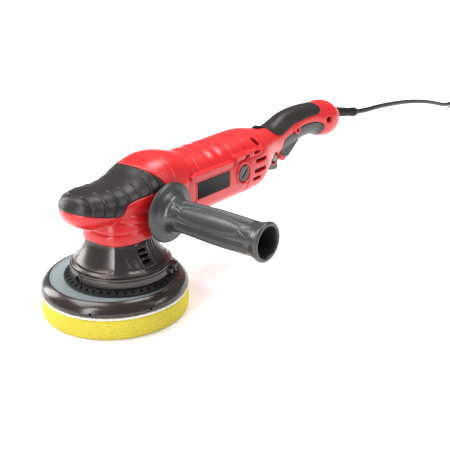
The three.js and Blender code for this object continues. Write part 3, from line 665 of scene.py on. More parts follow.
@dataclass(frozen=True)
class Shroud:
    """The bell under the head, its clamp ring and its toothed skirt."""

    bell: Track = Track((
        (52.9, 49.6, -49.6, 49.6, 2), (53.4, 50.6, -50.6, 50.6, 2), (54.2, 50.2, -50.2, 50.2, 2),
        (56, 47.8, -47.8, 47.8, 2), (60, 43.6, -43.6, 43.6, 2.0), (65, 39.8, -39.8, 40, 2.05),
        (70, 36.8, -36.8, 37.6, 2.1), (76, 34.2, -34.2, 35.6, 2.15), (80.7, 32.8, -33, 35, 2.2),
    ))
    bore: Track = Track((
        (40, 46.4, -46.4, 46.4, 2), (51, 46.4, -46.4, 46.4, 2), (56, 43.2, -43.2, 43.2, 2),
        (61, 38.4, -38.4, 38.4, 2), (66, 31.6, -31.6, 32, 2.1), (90, 29.6, -29.6, 31, 2.2),
    ))
    ring_radius: float = 52.0
    ring_z: Row = (42.4, 53.0)
    skirt_z: float = 37.7
    teeth: int = 44
    screw_angles: Row = (-1.7, 0.56)
    screw_z: float = 46.4

    def build(self) -> None:
        """Builds and places the pieces."""
        bell = tower(self.bell, 0.35, 360)
        bell.dent(self._relief)
        inner = tower(self.bore, 3.0, 64)
        slots = []
        for side in (1, -1):
            for row in range(3):
                low = 60.6 + 5.2 * row
                slots.append(block(span(side, 20, 60), (-9.5, 1.5), (low, low + 3.2)))
        bell.cut(inner, *slots).soften(0.6, 3)
        bell.place("bell", "graphite_plastic", replaces=["shroud"])
        self._ring()
        self._skirt()

    @staticmethod
    def _relief(x: np.ndarray, y: np.ndarray, z: np.ndarray) -> np.ndarray:
        """Four flattened faces, raised louvre panels and upright grooves beside them."""
        side = smoothstep(np.abs(x), 20, 28)
        panel = window(y, -12.6, 4.2, 0.5) * window(z, 57.8, 79, 0.5)
        grooves = line(y - 9.6, 0.9) + line(y - 13.6, 0.9) + line(y + 21.6, 0.9) + line(y + 24.4, 0.8)
        grooves = grooves * window(z, 57, 90, 1.0)
        return side * (-0.9 * panel + 0.55 * grooves) + faceted(x, y, 1.9, 0.7) * smoothstep(z, 56.0, 57.8)

    def _ring(self) -> None:
        """Clamp ring with its lug and screws."""
        low, high = self.ring_z
        reach = self.ring_radius
        profile = rounded([(49.3, low), (reach - 0.4, low), (reach, low + 0.8), (reach, 49.6),
                           (reach - 0.7, 50.0), (reach - 0.7, 50.6), (reach - 0.2, 51),
                           (reach - 0.4, high - 0.2), (49.3, high - 0.2), (49.3, low)], 0.4)
        ring = turned(profile, around=300)
        level = Matrix.Translation((0, 0, self.screw_z))
        turns = [Matrix.Rotation(angle, 4, "Z") @ level for angle in self.screw_angles]
        outline = [(0, 50), (5.2, 50), (5.2, 52.4), (4.4, 53.2), (0, 53.2)]
        lip = turned(rounded(outline, 0.5), Axis.X, around=40)
        lug = block((50, 57.6), (-5.4, 5.4), (-3.6, 4.6)).bevel(1.1, 3)
        arm = block((50, 55.2), (-12, -6.4), (-3.4, 1.8)).bevel(1.1, 3)
        ring.join(lip.shift(turns[0]), lug.shift(turns[1]), arm.shift(turns[1]))
        for turn in turns:
            ring.cut(rod(3.6, 49.8, 70, Axis.X, around=32).shift(turn))
        ring.cut(block((51, 60), (-0.6, 0.6), (-5, 6)).shift(turns[1]))
        ring.bevel(0.25)
        ring.place("clamp_ring", "graphite_plastic", replaces=["shroud_clamp_ring"])
        for index, (turn, out) in enumerate(zip(turns, (51.6, 56.4))):
            outline = [(0, 49.9), (2.9, 49.9), (2.9, out - 0.8), (2.2, out), (1.4, out), (1.4, out - 1.4),
                       (0, out - 1.4)]
            head = turned(rounded(outline, 0.3), Axis.X, around=32)
            head.shift(turn).place(f"clamp_screw_{index + 1}", "black_plastic",
                                   replaces=[f"shroud_screw_{index + 1}"])

    def _skirt(self) -> None:
        """Dark flared skirt with a row of notches."""
        outline = [(46.8, 42.1), (51.4, 42.1), (57.2, 39.5), (58.4, 39.1), (59, 38.4), (58.6, self.skirt_z),
                   (46.8, self.skirt_z), (46.8, 42.1)]
        skirt = turned(rounded(outline, 0.4), around=300)
        notch = block((53.2, 56.8), (-1.2, 1.2), (39.2, 43.0))
        cutters = []
        for index in range(self.teeth):
            cutters.append(notch.copy().shift(Matrix.Rotation(2 * math.pi * index / self.teeth, 4, "Z")))
        notch.drop()
        skirt.cut(fused(cutters)).place("skirt_ring", "black_plastic", replaces=["shroud_skirt"])


def faceted(x: np.ndarray, y: np.ndarray, flat: float, corner: float) -> np.ndarray:
    """Depth that flattens four faces of a round body and lifts the creases between them."""
    turn = np.degrees(np.arctan2(np.abs(y), np.abs(x)))
    share = np.where(turn < 52, turn / 52, (90 - turn) / 38)
    return flat * (1 - share ** 2) - corner


def span(side: int, near: float, far: float) -> Row:
    """Limits on X, on the +X side for 1 and on the other for -1."""
    return tuple(sorted((side * near, side * far)))


def mirror(side: int) -> Matrix:
    """Keeps a body on +X for side 1 and carries it to -X for side -1."""
    return Matrix.Scale(side, 4, (1, 0, 0))


def fused(bodies: Sequence[Body]) -> Body:
    """Many separate bodies as one mesh."""
    mesh = bmesh.new()
    for body in bodies:
        mesh.from_mesh(body.thing.data)
        body.drop()
    return Body(mesh)


@dataclass(frozen=True)
class Head:
    """Red head cover with its collar, and the soft grip over its nose."""

    shell: Track = Track((
        (-66.2, 1.5, 119, 122.4, 2.0), (-65.6, 6, 116, 125, 2.1), (-64, 10.5, 113, 128, 2.2),
        (-62.4, 14.5, 110.6, 130.4, 2.2), (-58.4, 20.5, 106, 134.6, 2.3), (-50, 25, 101.6, 137.6, 2.4),
        (-38, 28, 100, 138.4, 2.3), (-22, 29.5, 99, 137.8, 2.2), (-8, 31.2, 97, 138.4, 2.2),
        (6, 33.2, 94, 142.4, 2.15), (20, 34.8, 90, 149.6, 2.15), (38, 35.5, 85, 154.8, 2.2),
        (58, 35.6, 80, 153.6, 2.25), (77.9, 35.6, 74.6, 148, 2.3),
    ))
    collar: Track = Track((
        (80.8, 34.0, -34.2, 36.2, 2.25), (82.4, 34.7, -34.9, 37, 2.25), (92, 33.6, -33.4, 39, 2.3),
        (102, 31.8, -30.6, 44, 2.5), (118, 29.5, -24, 50, 3.0),
    ))
    throat: Track = Track((
        (60, 30.6, -30.6, 32.8, 2.3), (92, 30, -30, 36, 2.35), (112, 28.6, -28, 38, 2.5),
    ))
    grip_side: tuple[Row, ...] = (
        (-90, 124), (-60, 122), (-45, 117.4), (-26, 112.4), (-20, 112), (-17, 121), (-11, 123.6),
        (16, 125.4), (35, 127.6), (26, 140), (14.5, 149), (5.5, 154), (0, 175), (-90, 175),
    )
    grooves: tuple[float, ...] = (-54, -40.5, -27, -13.5, 0, 13.5, 25)

    def build(self) -> None:
        """Builds and places the pieces."""
        outline = softened(self.grip_side, 2)
        recess = slab(grown(outline, GRIP_GAP)).cut(lining(self.shell, 2.6))
        rails = [block(span(side, 28, 36.5), (50, 63), (118.4, 125.6)) for side in (1, -1)]
        cover = hull(self.shell).join(tower(self.collar), *rails)
        cover.cut(recess).soften(0.75, 5).dent(self._creases)
        cavity = hull(Track(self.shell.rows[4:]), 6.0, 32, -3.2).shift(Matrix.Translation((0, 0.9, 0)))
        cover.cut(cavity, tower(self.throat, 10, 48))
        cover.place("head_shell", "red_plastic", replaces=["head_cover"])
        grip = hull(self.shell, 1.0, 180, 0.25).keep(slab(outline)).cut(lining(self.shell, 2.4))
        grip.soften(0.62, 4).dent(self._ribs)
        grip.place("nose_grip_cover", "soft_grip", replaces=["nose_grip"])

    @staticmethod
    def _creases(x: np.ndarray, y: np.ndarray, z: np.ndarray) -> np.ndarray:
        """Moulded creases of the collar and the cover's parting lines."""
        side = smoothstep(np.abs(x), 8, 20)
        upper = line(capsule(y, z, (-30, 112.6), (30, 102.6)), 1.5)
        lower = line(capsule(y, z, (-42, 109), (34, 89.5)), 1.7)
        seam = line(y - 49 + (z - 120) * 0.12, 0.8) + line(y - 66, 0.8)
        edge = [(34, 127), (27.5, 140), (16.5, 149), (8, 154), (3, 166)]
        brim = np.min([capsule(y, z, start, end) for start, end in zip(edge, edge[1:])], axis=0)
        brim = -0.7 * window(brim, -1, 2.6, 0.7)
        faces = faceted(x, y, 1.1, 0.4) * (1 - smoothstep(z, 94, 104))
        lap = 0.7 * line(z - 92.2, 1.6) - 0.5 * window(z, 80, 90.4, 0.7)
        parting = 0.4 * seam * smoothstep(z, 112, 118)
        cheeks = side * (0.9 * upper + 0.9 * lower)
        return lap * (1 - smoothstep(z, 100, 106)) + cheeks + parting + faces + brim

    def _ribs(self, x: np.ndarray, y: np.ndarray, z: np.ndarray) -> np.ndarray:
        """Thin curved grooves down both cheeks."""
        bow = 0.035 * np.clip(128 - z, 0, None) ** 2 + 0.02 * np.clip(z - 131, 0, None) ** 2
        depth = np.zeros_like(x)
        for index, start in enumerate(self.grooves):
            top = 5 + 2.0 * index
            offset = y + bow - start
            step = line(offset, 1.2) * 1.1 - line(offset - 1.9, 1.5) * 0.45
            depth += step * smoothstep(np.abs(x), top, top + 8)
        return depth


@dataclass(frozen=True)
class MotorHousing:
    """Red motor tube with its rails, label recess and brush caps."""

    shell: Track = Track((
        (78.3, 35.3, 74.4, 146.6, 2.35), (84, 35.25, 74.2, 145.8, 2.35), (92, 35.2, 74, 145, 2.35),
        (120, 35.2, 73.9, 144.9, 2.35), (150, 35.2, 73.9, 145.0, 2.35), (171, 35.2, 73.9, 145.4, 2.35),
    ))
    bore: Track = Track(((70, 32.6, 77, 142.4, 2.35), (190, 32.6, 77, 142.4, 2.35)))
    brush_y: float = 158.0
    label_y: Row = (80.6, 134.4)
    cap_turn: float = math.radians(42)
    # limits of black blocks behind the square and small vents: painted shade, so the vents read dark inside
    painted_shade_blocks: tuple[tuple[Row, Row, Row], ...] = (
        ((28.4, 31.6), (160, 169.2), (123, 130)), ((29, 32), (161.4, 170), (93.4, 97)),
    )

    def build(self) -> None:
        """Builds and places the pieces."""
        shell = hull(self.shell, 1.0, 220)
        for name, side in SIDES:
            face = mirror(side)
            outline = [(0, 28), (13.4, 28), (13.4, 36.6), (12.6, 37.2), (11.2, 37.2), (10.6, 36.4),
                       (10.4, 34), (0, 34)]
            boss = turned(rounded(outline, 0.4), Axis.X, (0, self.brush_y, MOTOR_Z))
            rail = block((26, 36.3), (70, 139), (122.4, 128.6))
            rear_rail = block((26, 36.2), (145, 171.2), (125.6, 131.6))
            shell.join(*(part.shift(face) for part in (boss, rail, rear_rail)))
            recess = block((34.25, 40), (80, 135), (MOTOR_Z - 9.8, MOTOR_Z + 9.8))
            square = block((31, 40), (161, 168.5), (123.6, 129.3))
            small = block((31, 40), (162, 169.6), (94, 96.4))
            shell.cut(*(part.shift(face) for part in (recess, square, small)))
            # black blocks set behind the vents as painted shade
            painted_shade_blocks = [block(*limits).shift(face) for limits in self.painted_shade_blocks]
            fused(painted_shade_blocks).place(f"housing_shade_block_{name}", "black_plastic")
        shell.soften(0.7, 4).dent(self._relief)
        shell.cut(hull(self.bore, 30, 48))
        shell.place("motor_shell", "red_plastic", replaces=["motor_housing"])
        label = block((34.3, 34.95), self.label_y, (MOTOR_Z - 9.2, MOTOR_Z + 9.2)).bevel(0.25)
        label.place("label_blank", "label_film", replaces=["label_plate"])
        self._caps()

    @staticmethod
    def _relief(x: np.ndarray, y: np.ndarray, z: np.ndarray) -> np.ndarray:
        """Two shallow scallops on top and thin parting lines."""
        top = smoothstep(z, 132, 142)
        scallop = np.zeros_like(x)
        for middle in (108, 124):
            scallop += line(y - middle - 0.12 * np.abs(x), 7.5)
        lines = line(y - 88, 0.8) + line(y - 146, 0.8)
        return 1.1 * top * scallop + 0.3 * lines * smoothstep(z, 128, 132)

    def _caps(self) -> None:
        """The two slotted brush caps."""
        for name, side in SIDES:
            outline = [(0, 32.6), (9.4, 32.6), (9.4, 35.8), (8.6, 36.7), (0, 36.7)]
            cap = turned(rounded(outline, 0.6), Axis.X, around=72)
            slot = block((35.4, 40), (-6.6, 6.6), (-0.9, 0.9)).shift(Matrix.Rotation(self.cap_turn, 4, "X"))
            cap.cut(slot).bevel(0.25)
            cap.shift(mirror(side) @ Matrix.Translation((0, self.brush_y, MOTOR_Z)))
            cap.place(f"brush_cap_face_{name}", "graphite_plastic", replaces=[f"brush_cap_{name}"])


@dataclass(frozen=True)
class RearHandle:
    """Two red handle shells, soft grips, trigger, lock button, speed wheel and screws."""

    shell: Track = Track((
        (171.3, 35.4, 73.8, 145.4, 2.35), (186, 35.2, 74, 145.4, 2.4), (200, 34.4, 75.4, 144.8, 2.5),
        (210, 32.6, 78.5, 143.4, 2.4), (220, 29, 84, 141.6, 2.2), (230, 25, 89, 140.2, 2.1),
        (240, 21.4, 92, 139.4, 2), (250, 18.4, 95, 140, 2), (262, 16.8, 98, 143.8, 2),
        (276, 16.2, 101, 148.4, 2), (294, 16.4, 105, 150.8, 2), (312, 16.8, 108.6, 151.2, 2),
        (330, 17, 109.4, 150.4, 2), (344, 17.6, 107.8, 149.4, 2), (353, 19.2, 104.4, 149, 2),
        (361, 21.4, 101.6, 149.2, 2), (369, 22.6, 100, 148.4, 2), (378, 22.2, 100, 146.2, 2.05),
        (386, 20.2, 102.4, 142, 2.05), (393, 16, 107.6, 138, 2.05), (398.6, 12, 112.6, 134.8, 2),
        (402.6, 8.4, 116, 132.6, 2), (404.4, 7, 117, 131.6, 2),
    ))
    guard: tuple[Row, ...] = (
        (262, 112), (264.5, 99), (268, 92.6), (272.6, 89.8), (278, 91.6), (284, 95), (291, 99.6),
        (299, 105.4), (308, 112), (290, 122), (266, 122),
    )
    top_grip: tuple[Row, ...] = (
        (238, 180), (238, 140), (243, 133.4), (250, 129), (261, 126.6), (274, 131.2), (287, 135.2),
        (302, 136.8), (318, 137.4), (336, 136.8), (345, 138), (349, 142), (347, 147.6), (340, 152),
        (336, 180),
    )
    low_grip: tuple[Row, ...] = (
        (264.5, 99.6), (276, 96.4), (300, 86), (352, 96), (355, 112), (354, 118), (350, 123), (338, 127.8),
        (322, 129.6), (302, 129), (288, 125.4), (274, 122.2), (264, 119.6),
    )
    trigger: tuple[Row, ...] = (
        (216, 106), (212.6, 102), (214, 97), (222, 91), (240, 85.4), (262, 80.8), (265.6, 83), (264.4, 90.4),
        (259.6, 96.6), (258, 104), (250, 107),
    )
    vents: tuple[tuple[Row, Row, Row], ...] = (
        ((29, 40), (182.6, 203.4), (114.6, 118.8)), ((29, 40), (179.6, 202.4), (103.2, 107.4)),
        ((28, 40), (178.6, 193.4), (93.8, 98)), ((24, 40), (176.6, 195), (126.4, 130.2)),
    )
    lock_at: Row = (0, 239.5, 104)
    dial_at: Row = (0, 229, 132.2)
    slant_at: Row = (0, 192.6, 135.2)
    slant_turn: float = math.radians(-54)
    screws: tuple[Row, ...] = ((360, 126.6), (291, 126.8))

    def build(self) -> None:
        """Builds and places the pieces."""
        self._shells()
        self._grips()
        self._controls()

    def _shells(self) -> None:
        """The red shells, split on the middle plane."""
        whole = self._outer(1.0, 0.0)
        whole.join(rod(8.6, 13, 19.6, Axis.X, self.lock_at), rod(5.2, 10, 18.4, Axis.X, (0, *self.screws[1])))
        for side in (1, -1):
            face = mirror(side)
            whole.join(block((24, 36.1), (171, 193), (125.4, 131.4)).shift(face))
            slant = Matrix.Translation(self.slant_at) @ Matrix.Rotation(self.slant_turn, 4, "X")
            vents = [block(*limits) for limits in self.vents]
            vents.append(block((16, 40), (-5.8, 5.8), (-2.4, 2.4)).bevel(2.2, 4).shift(slant))
            whole.cut(*(part.shift(face) for part in vents))
        whole.cut(rod(4.2, 12, 30, Axis.X, (0, *self.screws[0])),
                  rod(2.6, 8, 30, Axis.X, (0, *self.screws[1])), rod(6.9, 5, 30, Axis.X, self.lock_at))
        inset = lining(self.shell, 2.7)
        low = slab(grown(softened(self.low_grip, 2), GRIP_GAP))
        top = slab(grown(softened(self.top_grip, 2), GRIP_GAP))
        core = slab(softened(self.guard, 1), (-6, 6))
        whole.cut(low.cut(inset.copy(), core, self._boss(5.3)), top.cut(inset))
        whole.soften(0.7, 4)
        cavity = hull(Track(self.shell.rows[:-4]), 6.0, 32, -4.4).shift(Matrix.Translation((0, -0.4, 0)))
        dial = turned([(0, -5), (11.6, -5), (11.6, 5), (0, 5)], Axis.X, self.dial_at)
        trigger_room = block((-7.6, 7.6), (208, 263.6), (60, 112))
        whole.cut(cavity, dial, trigger_room)
        for name, side in SIDES:
            half = whole.copy().keep(block(span(side, 0.12, 60), (160, 420), (60, 170)))
            half.place(f"handle_shell_{name}", "red_plastic", replaces=[f"rear_handle_{name}"])
            # black blocks set behind the side vents and the slanted vent as painted shade
            painted_shade_blocks = [block(span(side, 25.6, 28.8), (177, 202.6), (93.4, 129)),
                       block(span(side, 13.6, 16.6), (187, 198), (130.4, 139.4))]
            fused(painted_shade_blocks).place(f"vent_shade_block_{name}", "black_plastic")
        whole.drop()

    def _outer(self, step: float, grow: float) -> Body:
        """The hull with its finger guard."""
        guard = slab(softened(self.guard, 1), (-10.4 - grow, 10.4 + grow))
        return hull(self.shell, step, 180, grow).join(guard)

    def _boss(self, radius: float) -> Body:
        """The space of the red boss round the middle screw."""
        return rod(radius, -40, 40, Axis.X, (0, *self.screws[1]), 40)

    def _grips(self) -> None:
        """The two soft overmoulds."""
        for name, outline in (("top", self.top_grip), ("lower", self.low_grip)):
            grip = self._outer(1.0, 0.3).keep(slab(softened(outline, 2)))
            core = slab(softened(self.guard, 1), (-5.9, 5.9))
            grip.cut(lining(self.shell, 2.5), core, self._boss(5.6))
            grip.soften(0.6, 4)
            grip.place(f"{name}_grip_cover", "soft_grip", replaces=[f"{name}_grip"])

    def _controls(self) -> None:
        """Trigger, lock button, speed wheel and shell screws."""
        trigger = slab(softened(self.trigger, 1), (-7, 7)).bevel(1.4, 4)
        trigger.place("trigger_lever", "trigger_plastic", "trigger", ["trigger"])
        sleeve = rounded([(4.8, 9.4), (6.8, 9.4), (6.8, 16.8), (4.8, 16.8), (4.8, 9.4)], 0.4)
        turned(sleeve, Axis.X, self.lock_at).place("lock_collar", "black_plastic", replaces=["lock_sleeve"])
        button = turned(rounded([(0, 11), (4.5, 11), (4.5, 20.6), (0, 21.4)], 1.4, 6), Axis.X, self.lock_at)
        button.place("lock_cap", "button_plastic", "lock_button", ["lock_button"])
        wheel = turned(rounded([(0, -3.8), (10.4, -3.8), (10.4, 3.8), (0, 3.8)], 0.9), Axis.X, ORIGIN, 192)
        wheel.dent(self._knurl)
        wheel.shift(Matrix.Translation(self.dial_at))
        wheel.place("speed_wheel", "black_plastic", "speed_dial", ["speed_dial"])
        for index, (y, z) in enumerate(self.screws):
            outline = [(0, 1), (2.5, 1), (2.5, 9.6), (1.8, 10.4), (0, 10.4)]
            screw = turned(rounded(outline, 0.5), Axis.X, (0, y, z))
            socket = rod(1.3, 8.6, 14, Axis.X, (0, y, z), 6)
            screw.cut(socket).place(f"shell_screw_{index + 1}", "dark_steel",
                                    replaces=[f"handle_screw_{index + 1}"])

    @staticmethod
    def _knurl(x: np.ndarray, y: np.ndarray, z: np.ndarray) -> np.ndarray:
        """Grip notches round the wheel's edge."""
        angle = np.arctan2(z, y)
        return 0.7 * smoothstep(np.sin(angle * 24), 0.1, 0.8) * smoothstep(np.hypot(y, z), 9, 10)


@dataclass(frozen=True)
class SideHandle:
    """The screw-in side handle with its hand guard and moulded relief."""

    at: Row = (0.0, 29.7, 103.7)
    profile: tuple[Row, ...] = (
        (0, 38), (11.6, 38), (13, 40.8), (30.4, 41.2), (31.4, 43), (29.6, 44.6), (22, 46.6), (18, 50),
        (16.7, 56), (16.4, 64), (16.5, 75), (17, 88), (17.4, 100), (17.4, 116), (17, 132), (16.6, 146),
        (17, 152), (18.4, 156), (19.4, 158.6), (19.4, 160.6), (18.2, 162), (15.6, 162), (14.5, 158),
        (14.2, 124), (0, 121),
    )

    def build(self) -> None:
        """Builds and places the handle."""
        mesh = bmesh.new()
        outline = self._dense()
        bmesh.ops.create_grid(mesh, x_segments=len(outline) - 1, y_segments=288, size=1.0)
        for vert in mesh.verts:
            radius, along = outline[round((vert.co.x + 1) / 2 * (len(outline) - 1))]
            angle = vert.co.y * math.pi
            vert.co = Vector((along, radius * math.sin(angle), radius * math.cos(angle)))
        bmesh.ops.remove_doubles(mesh, verts=mesh.verts, dist=1e-3)
        handle = Body(mesh).dent(self._relief)
        handle.shift(Matrix.Translation(self.at))
        handle.place("side_handle_grip", "handle_plastic", replaces=["side_handle"], angle=50)

    def _dense(self) -> list[Row]:
        """The profile rounded and cut into short steps."""
        points = rounded(self.profile, 2.4, 5)
        made = [points[0]]
        for start, end in zip(points, points[1:]):
            length = math.dist(start, end)
            steps = max(1, round(length / 0.8))
            made += [tuple(a + (b - a) * step / steps for a, b in zip(start, end))
                     for step in range(1, steps + 1)]
        return made

    @staticmethod
    def _relief(x: np.ndarray, y: np.ndarray, z: np.ndarray) -> np.ndarray:
        """Triangle, long lens and small shield repeated round the grip, with grooves between them."""
        radius = np.hypot(y, z)
        outside = window(radius, 15.6, 18.6, 0.3) * window(x, 50, 153, 1.5)
        third = 2 * math.pi / 3
        angle = np.arctan2(z, -y) - math.radians(38)
        angle = np.mod(angle + third / 2, third) - third / 2
        off = np.abs(angle * 16.8)
        triangle = line(np.minimum((69 - x) * 0.45 - off, x - 53.5), 0.8) * window(x, 53, 69.5, 0.5)
        shield = line(np.minimum((x - 138) * 0.45 - off, 149 - x), 0.8) * window(x, 138, 149.5, 0.5)
        share = np.clip((x - 66) / 70, 0, 1)
        reach = 3.2 + 4.6 * np.sin(share * math.pi) ** 0.6
        sides = line(off - reach, 0.9) + 0.7 * line(off - reach - 2.2, 0.8)
        sides = sides * window(x, 66, 138, 1.0)
        strips = sum(line(off - offset, 0.9) for offset in (11.6, 13.6, 15.6, 17.4))
        strips = strips * window(x, 62, 146, 2.0)
        return outside * (0.5 * sides + 0.5 * triangle + 0.5 * shield + 0.75 * strips)


@dataclass(frozen=True)
class Cord:
    """Strain relief, flexible cord with its stored coil, strap and plug."""

    tail: Row = (0.0, 406.4, 124.4)
    leave: Row = (0.0, 463.2, 113.4)
    radius: float = 3.5
    route: tuple[Row, ...] = (
        (-0.1, 457, 114.6), (-0.1, 464.4, 113.2), (-0.6, 480, 111.2), (-3.1, 502, 108.2),
        (-8.3, 535.4, 104.2), (-14.6, 572.8, 99), (-21.8, 613.5, 92.6), (-29.8, 657.5, 85.2),
        (-38.5, 704.7, 76.7), (-47.8, 755.5, 66.4), (-57.6, 809.7, 54.7), (-67.9, 867.7, 41),
        (-77.5, 922, 27), (-85.5, 968, 15), (-91.2, 1003, 8), (-95.6, 1034, 4.7), (-98.4, 1060, 4.4),
        (-99.6, 1075, 4.4), (-100, 1090, 4.4),
    )
    centre: Row = (-48.0, 1104.0)
    coil_radii: tuple[float, ...] = (52, 45, 38, 31, 31, 38, 45, 52, 52)
    layers: Row = (4.4, 11.4)
    last: tuple[Row, ...] = ((5.4, 1084, 11.3), (11, 1064, 11), (12, 1046, 10.4), (13.4, 1030, 9.8),
                             (15, 1015, 9.6), (15.6, 1009, 9.6))
    plug_at: Row = (17.0, 996.0, 9.6)
    plug_turn: float = 0.1
    plug_shell: Track = Track((
        (-19, 9, -5.6, 5.6, 2.6), (-17.6, 12.4, -8.2, 8.2, 3), (-10, 13, -8.8, 8.8, 3),
        (-4, 12.6, -8.8, 8.8, 3), (2, 10.6, -8.3, 8.3, 2.8), (9, 8, -7, 7, 2.4), (17.6, 5.6, -5.2, 5.2, 2),
    ))
    strap_turn: float = 0.9
    marks: int = 24
    turns: float = 8.5
    ribs: int = 9
    rib_pitch: float = 4.6

    def build(self) -> None:
        self._relief()
        plug_piece = self._plug()
        strap = self._strap()
        points = self._points()
        data = bpy.data.curves.new("mains_cord", "CURVE")
        data.dimensions = "3D"
        data.bevel_depth = self.radius * MM
        data.bevel_resolution = 5
        data.use_fill_caps = True
        spline = data.splines.new("POLY")
        spline.points.add(len(points) - 1)
        for target, spot in zip(spline.points, points):
            target.co = (*(value * MM for value in spot), 1.0)
        data.materials.append(Finish.known["cord_jacket"])
        cord = linked("mains_cord", data)
        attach(cord, "root")
        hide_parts("cord", "cord_coil", "cord_end")

    def _coil(self) -> list[Row]:
        """The stored turns: four inwards along the floor, four outwards on top and a half."""
        made = []
        for step in range(1, int(self.marks * self.turns) + 1):
            turn = step / self.marks
            index = min(int(turn), 7)
            share = min(max((turn - index - 0.8) / 0.2, 0.0), 1.0)
            share = share * share * (3 - 2 * share)
            reach = self.coil_radii[index] + (self.coil_radii[index + 1] - self.coil_radii[index]) * share
            climb = share if index == 3 else float(index > 3)
            angle = math.pi - 2 * math.pi * turn
            height = self.layers[0] + (self.layers[1] - self.layers[0]) * climb
            made.append((self.centre[0] + reach * math.cos(angle), self.centre[1] + reach * math.sin(angle),
                         height))
        return made

    def _points(self) -> list[Row]:
        """The whole centreline, smoothed between the chosen points."""
        first_turn = (self.centre[0] - self.coil_radii[0], self.centre[1], self.layers[0])
        chosen = [*self.route, first_turn, *self._coil(), *self.last]
        spots = [(index, step / 4) for index in range(len(chosen) - 1) for step in range(4)]
        made = [tuple(curved(chosen, index, share)) for index, share in spots]
        return made + [chosen[-1]]

    def _relief(self) -> None:
        """Ribbed strain relief leaving the tail."""
        run = Vector(self.leave) - Vector(self.tail)
        reach = run.length
        profile = [(0, -2), (7.0, -2), (7.0, 4)]
        for index in range(self.ribs):
            start = 6.5 + index * self.rib_pitch
            radius = 6.5 - index * 0.1
            groove = radius - 0.9
            profile += [(radius, start), (groove, start + 0.4), (groove, start + 1.7), (radius, start + 2.1)]
        profile += [(5.7, 46.6), (6.4, 48), (6.4, 54), (5.4, reach), (0, reach)]
        relief = turned(rounded(profile, 0.35, 2), around=64)
        turn = run.to_track_quat("Z", "Y").to_matrix().to_4x4()
        relief.shift(Matrix.Translation(self.tail) @ turn)
        relief.place("cord_relief", "black_plastic", replaces=["strain_relief"])

    def _strap(self) -> bpy.types.Object:
        """Hook-and-loop strap round the stored turns."""
        outer = block((25.8, 56.6), (-4.5, 4.5), (0, 15.9))
        outer.cut(block((26.6, 55.8), (-6, 6), (0.7, 15.2)))
        outer.bevel(0.6, 3)
        turn = Matrix.Rotation(self.strap_turn, 4, "Z")
        outer.shift(Matrix.Translation((*self.centre, 0)) @ turn)
        return outer.place("coil_strap", "strap", replaces=["cord_tie"])

    def _plug(self) -> bpy.types.Object:
        """Moulded plug with two flat pins."""
        body = hull(self.plug_shell, 0.6, 72)
        for x in (6.3, -6.3):
            body.join(block((x - 0.75, x + 0.75), (-36, -17), (-3.2, 3.2)).bevel(0.3))
        body.bevel(0.5)
        body.shift(Matrix.Translation(self.plug_at) @ Matrix.Rotation(self.plug_turn, 4, "Z"))
        return body.place("plug_body", "black_plastic", replaces=["mains_plug"])


# ---------------------------------------------------------------- inner parts and studio


@dataclass(frozen=True)
class Inside:
    """The CAD nodes that stay as they are, each with its own material."""

    finishes: tuple[tuple[str, tuple[str, ...]], ...] = (
        ("dark_steel", (
            "plate_bolt", "eccentric_carrier", "counterweight", "crown_gear", "pinion", "armature_core",
            "stator_core",
        )),
        ("steel", (
            "pad_stub_shaft", "pad_bearing", "spindle", "spindle_bearing_lower", "spindle_bearing_upper",
            "motor_shaft", "motor_bearing_front", "motor_bearing_rear", "side_handle_stud",
        )),
        ("copper", (
            "armature_winding_front", "armature_winding_rear", "field_coil_upper", "field_coil_lower",
        )),
        ("brass", (
            "commutator", "brush_holder_left", "brush_holder_right",
        )),
        ("black_plastic", (
            "cooling_fan", "power_switch",
        )),
        ("carbon", (
            "carbon_brush_left", "carbon_brush_right",
        )),
        ("cast_alloy", (
            "gear_case",
        )),
    )

    def dress(self) -> None:
        """Gives each node its material."""
        for finish, names in self.finishes:
            for name in names:
                slots = frame["nodes"][name].data.materials
                slots.clear()
                slots.append(Finish.known[finish])


@dataclass(frozen=True)
class Lamp:
    """A soft rectangular light that looks at a point, in metres."""

    name: str
    at: Row
    target: Row
    width: float
    height: float
    power: float
    glossy: bool = True

    def build(self) -> None:
        """Adds the light."""
        data = bpy.data.lights.new(self.name, "AREA")
        data.shape = "RECTANGLE"
        data.size = self.width
        data.size_y = self.height
        data.energy = self.power
        lamp = linked(self.name, data)
        lamp.location = self.at
        lamp.visible_glossy = self.glossy
        lamp.rotation_euler = (Vector(self.target) - Vector(self.at)).to_track_quat("-Z", "Y").to_euler()


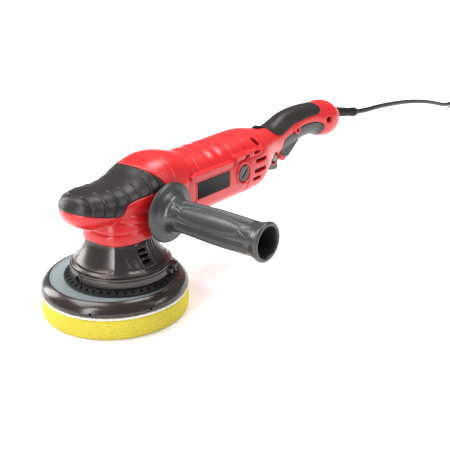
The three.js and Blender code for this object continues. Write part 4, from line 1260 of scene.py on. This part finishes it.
@dataclass(frozen=True)
class Studio:
    """Camera, floor and lights."""

    camera_at: Row = (0.53825, -0.5016, 0.3892)
    back: Row = (0.5786, -0.7210, 0.3813)
    lens: float = 62.85
    lamps: tuple[Lamp, ...] = (
        Lamp("key", (-0.45, -0.4, 1.4), (0, 0.1, 0.08), 0.8, 0.8, 13),
        Lamp("fill", (1.2, 0.6, 0.8), (0, 0.15, 0.1), 0.5, 0.9, 7),
        Lamp("top", (0.15, 0.6, 1.4), (0, 0.2, 0.1), 0.5, 0.9, 11),
        Lamp("front", (0.1, -1.1, 0.6), (0, 0, 0.07), 0.26, 1.2, 10),
        Lamp("left", (-1.1, -0.25, 0.45), (0, 0, 0.1), 0.4, 0.8, 8),
        Lamp("sweep", (-1.7, 2.4, 2.4), (-1.7, 2.4, 0), 3.0, 3.0, 190, glossy=False),
    )

    def camera(self) -> None:
        """Places the camera."""
        data = bpy.data.cameras.new("camera")
        data.lens = self.lens
        data.sensor_width = 36.0
        data.clip_start = 0.01
        camera = linked("camera", data)
        camera.location = self.camera_at
        camera.rotation_euler = (-Vector(self.back)).to_track_quat("-Z", "Y").to_euler()
        bpy.context.scene.camera = camera

    def set_dressing(self) -> None:
        """Adds the floor, the world light and the lamps."""
        mesh = bmesh.new()
        bmesh.ops.create_grid(mesh, x_segments=1, y_segments=1, size=8.0)
        data = bpy.data.meshes.new("floor")
        mesh.to_mesh(data)
        mesh.free()
        data.materials.append(Finish.known["floor"])
        floor = linked("floor", data)
        world = bpy.data.worlds.new("studio")
        world.use_nodes = True
        background = world.node_tree.nodes["Background"]
        background.inputs["Color"].default_value = (0.95, 0.96, 1.0, 1.0)
        background.inputs["Strength"].default_value = 0.28
        bpy.context.scene.world = world
        bpy.context.scene.view_settings.view_transform = "Standard"
        for lamp in self.lamps:
            lamp.build()


def main() -> None:
    """Builds the polisher."""
    logging.basicConfig(level=logging.INFO, format="%(message)s")
    Palette().build()
    studio = Studio()
    studio.camera()
    Cord().build()
    parts = (Pad(), Shroud(), Head(), MotorHousing(), RearHandle(), SideHandle())
    for part in parts:
        part.build()
        log.info("built %s", type(part).__name__)
    Inside().dress()
    studio.set_dressing()


if __name__ == "__main__":
    main()
